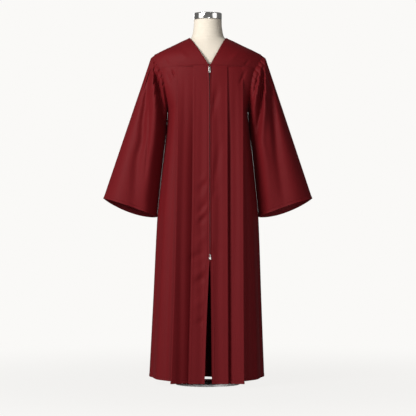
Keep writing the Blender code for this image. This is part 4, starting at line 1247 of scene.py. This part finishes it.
def make_tab():
    """Hanging tab, narrow at its eye and flared at its end, modelled about its hinge."""
    tab = block("pull_tab", (0.0, 0.0, -0.0084), (0.0100, 0.0010, 0.0182), 0.0003)
    take_only(tab)
    bpy.ops.object.mode_set(mode="EDIT")
    for level, _ in TAB_WIDTHS[-2:0:-1]:
        bpy.ops.mesh.select_all(action="SELECT")
        bpy.ops.mesh.bisect(plane_co=(0.0, 0.0, level), plane_no=(0.0, 0.0, 1.0))
    bpy.ops.object.mode_set(mode="OBJECT")
    for vertex in tab.data.vertices:
        vertex.co.x *= float(np.interp(vertex.co.z, *zip(*TAB_WIDTHS)))
    eye = block("tab_eye", (0.0, 0.0, -0.0030), (0.0032, 0.0040, 0.0046), 0.0005)
    hollow = block("tab_hollow", (0.0, -0.0007, -0.0130), (0.0050, 0.0010, 0.0050), 0.0004)
    take_only(tab)
    for tool in (eye, hollow):
        cut = tab.modifiers.new("cut", "BOOLEAN")
        cut.operation = "DIFFERENCE"
        cut.object = tool
        bpy.ops.object.modifier_apply(modifier=cut.name)
        bpy.data.objects.remove(tool)
    set_down(tab, HINGE, 0.0, zip_metal())
    declare(tab, ["zip_pull_tab"], PULL_BODY)


def make_stop():
    """Bottom stop: a retaining box with a pin above it."""
    low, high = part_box("zip_bottom_stop")
    centre = (low + high) / 2.0
    lean = atan(float(zip_face_y(low.z) - zip_face_y(high.z)) / (high.z - low.z))
    box = block("stop_box", (0.0, 0.0, -0.0045), (0.0075, 0.0028, 0.0105), 0.0007, 3)
    sink_front(box, 0.0010)
    pin = block("stop_pin", (-0.0011, 0.0003, 0.0050), (0.0024, 0.0020, 0.0098), 0.0006)
    rib = block("stop_rib", (0.0017, 0.0003, 0.0050), (0.0022, 0.0016, 0.0096), 0.0005)
    stop = join("bottom_stop", [box, pin, rib])
    set_down(stop, centre, lean, zip_metal())
    declare(stop, ["zip_bottom_stop"])


class GOWN_OT_zip(bpy.types.Operator):
    """Make the zip: tape, coil, slider, pull tab and bottom stop"""
    bl_idname = "gown.zip"
    bl_label = "Zip"

    def execute(self, context):
        make_tape()
        make_coil()
        make_slider()
        make_tab()
        make_stop()
        return {"FINISHED"}


# ------------------------------------------------------------------------ dress form


def make_form():
    """Linen-covered torso with faint creases round the neck."""
    table = np.array(TORSO)[::-1] / (1000.0, 1000.0, 1000.0, 1000.0, 1.0)
    keys = table[:, 0]
    z = np.unique(np.concatenate([
        *(np.linspace(a, b, 60) for a, b in ((keys[0], 1.2), (1.2, 1.3), (1.3, keys[-1]))), keys,
    ]))[::-1][:, None]
    angle = np.linspace(0.0, tau, 121)[None, :-1]
    half, front, back, square = [np.interp(z, keys, table[:, k]) for k in range(1, 5)]
    c, s = np.cos(angle), np.sin(angle)
    power = 2.0 / square
    x = half * np.abs(c) ** power * np.sign(c)
    y = np.where(s >= 0.0, back, front) * np.abs(s) ** power * np.sign(s)
    wrinkles = np.zeros_like(x)
    for height, slant, depth in WRINKLES:
        line = height + slant * np.cos(angle + height * 90.0) + 0.0012 * np.sin(3.0 * angle)
        fade = 0.6 + 0.4 * np.sin(2.0 * angle + height * 50.0)
        wrinkles += depth * np.exp(-((z - line) / 0.0022) ** 2) * fade
    grow = 1.0 + wrinkles / 0.052
    grid = point_grid(x * grow, y * grow, z)
    around = np.concatenate([angle, [[tau]]], 1) * 0.055
    runs = np.stack(np.broadcast_arrays(around, z), -1)
    piece = grid_mesh("dress_form", grid, runs, no_seams(grid, 1), body_middle, closed=True)
    take_only(piece)
    bpy.ops.object.mode_set(mode="EDIT")
    bpy.ops.mesh.select_mode(type="EDGE")
    bpy.ops.mesh.select_all(action="DESELECT")
    bpy.ops.mesh.select_non_manifold()
    bpy.ops.mesh.fill_holes(sides=0)
    bpy.ops.object.mode_set(mode="OBJECT")
    bpy.ops.object.shade_smooth_by_angle(angle=SMOOTH_ANGLE)
    piece.data.materials.clear()
    piece.data.materials.append(linen_cover())
    declare(piece, ["form_torso"])


def make_cap():
    """Polished cap of the neck: a short drum with rolled rims and a slightly domed top."""
    low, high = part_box("neck_cap")
    radius = (high.x - low.x) / 2.0
    deselect()
    bpy.ops.mesh.primitive_cylinder_add(
        vertices=128, radius=radius, depth=high.z - low.z,
        location=(0.0, 0.0, (low.z + high.z) / 2.0))
    cap = bpy.context.object
    cap.name = "neck_cap_polished"
    bpy.ops.object.transform_apply(location=True, rotation=True, scale=True)
    for face in cap.data.polygons:
        face.select = face.normal.z > 0.9
    bpy.ops.object.mode_set(mode="EDIT")
    bpy.ops.mesh.select_mode(type="FACE")
    bpy.ops.mesh.bevel(offset=0.0034, segments=6, affect="EDGES", profile=0.5)
    pick_faces(cap, lambda face: face.normal.z < -0.9)
    bpy.ops.mesh.bevel(offset=0.0010, segments=3, affect="EDGES", profile=0.5)
    pick_faces(cap, lambda face: face.normal.z > 0.99 and len(face.vertices) > 60)
    bpy.ops.mesh.inset(thickness=0.0080, depth=0.0)
    bpy.ops.mesh.inset(thickness=0.0008, depth=-0.0005)
    bpy.ops.object.mode_set(mode="OBJECT")
    finish = hard_finish(
        "polished_cap", tuple(colours().chrome), 0.09, 1.0, 0.004, 500.0, spread=0.03)
    set_down(cap, (0.0, 0.0, 0.0), 0.0, finish, smooth=30.0)
    declare(cap, ["neck_cap"])


class GOWN_OT_form(bpy.types.Operator):
    """Make the linen form and its polished neck cap, and paint the stand"""
    bl_idname = "gown.form"
    bl_label = "Dress form"

    def execute(self, context):
        make_form()
        make_cap()
        paint = hard_finish(
            "powder_paint", tuple(colours().paint), 0.42, 0.0, 0.03, 420.0, spread=0.03)
        for node in ("stand_pole", "stand_base"):
            stand = frame["nodes"][node]
            stand.data.materials.clear()
            stand.data.materials.append(paint)
        return {"FINISHED"}


# ------------------------------------------------------------------------ stage


def backdrop_finish():
    """Pale floor that takes a soft shadow near the gown and fades into the background."""
    finish = Finish("backdrop")
    place = finish.node("ShaderNodeTexCoord", None, None, give=3)
    reach = finish.node("ShaderNodeVectorMath", {"operation": "LENGTH"}, {0: place}, give=1)
    near = finish.node(
        "ShaderNodeMapRange", {"interpolation_type": "SMOOTHSTEP"},
        {"Value": reach, "From Min": 0.3, "From Max": 2.2, "To Min": 0.90, "To Max": 1.0})
    seen = finish.node("ShaderNodeLightPath", None, None, give=0)
    white = tuple(colours().backdrop)
    glow = finish.node("ShaderNodeEmission", None, {"Color": white, "Strength": 1.0})
    matt = finish.node("ShaderNodeBsdfDiffuse", None, {"Color": (0.35, 0.35, 0.35, 1.0)})
    finish.out(finish.node("ShaderNodeMixShader", None, {0: seen * near, 1: matt, 2: glow}))
    return finish.material


def aim(item, target):
    item.rotation_euler = (Vector(target) - item.location).to_track_quat("-Z", "Y").to_euler()


def area_light(name, place, target, size, power):
    light = bpy.data.lights.new(name, "AREA")
    light.shape = "RECTANGLE"
    light.size, light.size_y = size
    light.energy = power
    item = bpy.data.objects.new(name, light)
    bpy.context.scene.collection.objects.link(item)
    item.location = place
    aim(item, target)


class GOWN_OT_stage(bpy.types.Operator):
    """Lay the pale floor, hang the soft lights and set up the camera"""
    bl_idname = "gown.stage"
    bl_label = "Stage"

    def execute(self, context):
        scene = context.scene
        stage = scene.gown_stage
        deselect()
        bpy.ops.mesh.primitive_circle_add(
            vertices=96, radius=9.0, fill_type="NGON", location=(0.0, 0.0, 0.0))
        floor = context.object
        floor.name = "pale_floor"
        floor.data.materials.append(backdrop_finish())
        world = bpy.data.worlds.new("soft_room")
        scene.world = world
        world.use_nodes = True
        nodes = world.node_tree.nodes
        links = world.node_tree.links
        nodes.clear()
        seen = nodes.new("ShaderNodeLightPath")
        white = nodes.new("ShaderNodeBackground")
        white.inputs[0].default_value = tuple(colours().backdrop)
        room = nodes.new("ShaderNodeBackground")
        room.inputs[0].default_value = (1.0, 0.99, 0.97, 1.0)
        shine = nodes.new("ShaderNodeMath")
        shine.operation = "MULTIPLY_ADD"
        links.new(seen.outputs["Is Glossy Ray"], shine.inputs[0])
        shine.inputs[1].default_value = 0.12
        shine.inputs[2].default_value = stage.ambient
        links.new(shine.outputs[0], room.inputs[1])
        both = nodes.new("ShaderNodeMixShader")
        end = nodes.new("ShaderNodeOutputWorld")
        links.new(seen.outputs[0], both.inputs[0])
        links.new(room.outputs[0], both.inputs[1])
        links.new(white.outputs[0], both.inputs[2])
        links.new(both.outputs[0], end.inputs[0])
        for name, place, target, size, setting in LIGHTS:
            area_light(name, place, target, size, getattr(stage, setting))
        scene.view_settings.view_transform = "Standard"
        lens = bpy.data.cameras.new("camera")
        lens.lens = stage.lens
        lens.sensor_width = 36.0
        lens.clip_end = 100.0
        camera = bpy.data.objects.new("camera", lens)
        scene.collection.objects.link(camera)
        camera.location = (0.00075, -stage.distance, stage.height)
        camera.rotation_euler = (radians(90.0), 0.0, 0.0)
        scene.camera = camera
        return {"FINISHED"}


class GOWN_PT_panel(bpy.types.Panel):
    """Sizes, colours and steps of the gown"""
    bl_label = "Graduation gown"
    bl_idname = "GOWN_PT_panel"
    bl_space_type = "VIEW_3D"
    bl_region_type = "UI"
    bl_category = "Gown"

    def draw(self, context):
        for step in STEPS:
            self.layout.operator(step.bl_idname)
        for group in (sizes(), colours(), context.scene.gown_stage):
            for name in group.__annotations__:
                self.layout.prop(group, name)


STEPS = (GOWN_OT_form, GOWN_OT_yokes, GOWN_OT_body, GOWN_OT_sleeves, GOWN_OT_zip, GOWN_OT_stage)
CLASSES = (GownSizes, GownColours, GownStage) + STEPS + (GOWN_PT_panel,)


def register():
    for item in CLASSES:
        bpy.utils.register_class(item)
    bpy.types.Scene.gown_sizes = bpy.props.PointerProperty(type=GownSizes)
    bpy.types.Scene.gown_colours = bpy.props.PointerProperty(type=GownColours)
    bpy.types.Scene.gown_stage = bpy.props.PointerProperty(type=GownStage)


def unregister():
    del bpy.types.Scene.gown_stage
    del bpy.types.Scene.gown_colours
    del bpy.types.Scene.gown_sizes
    for item in reversed(CLASSES):
        bpy.utils.unregister_class(item)


def main():
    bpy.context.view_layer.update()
    register()
    bpy.ops.gown.form()
    bpy.ops.gown.yokes()
    bpy.ops.gown.body()
    bpy.ops.gown.sleeves()
    bpy.ops.gown.zip()
    bpy.ops.gown.stage()
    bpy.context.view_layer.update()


if __name__ == "__main__":
    main()
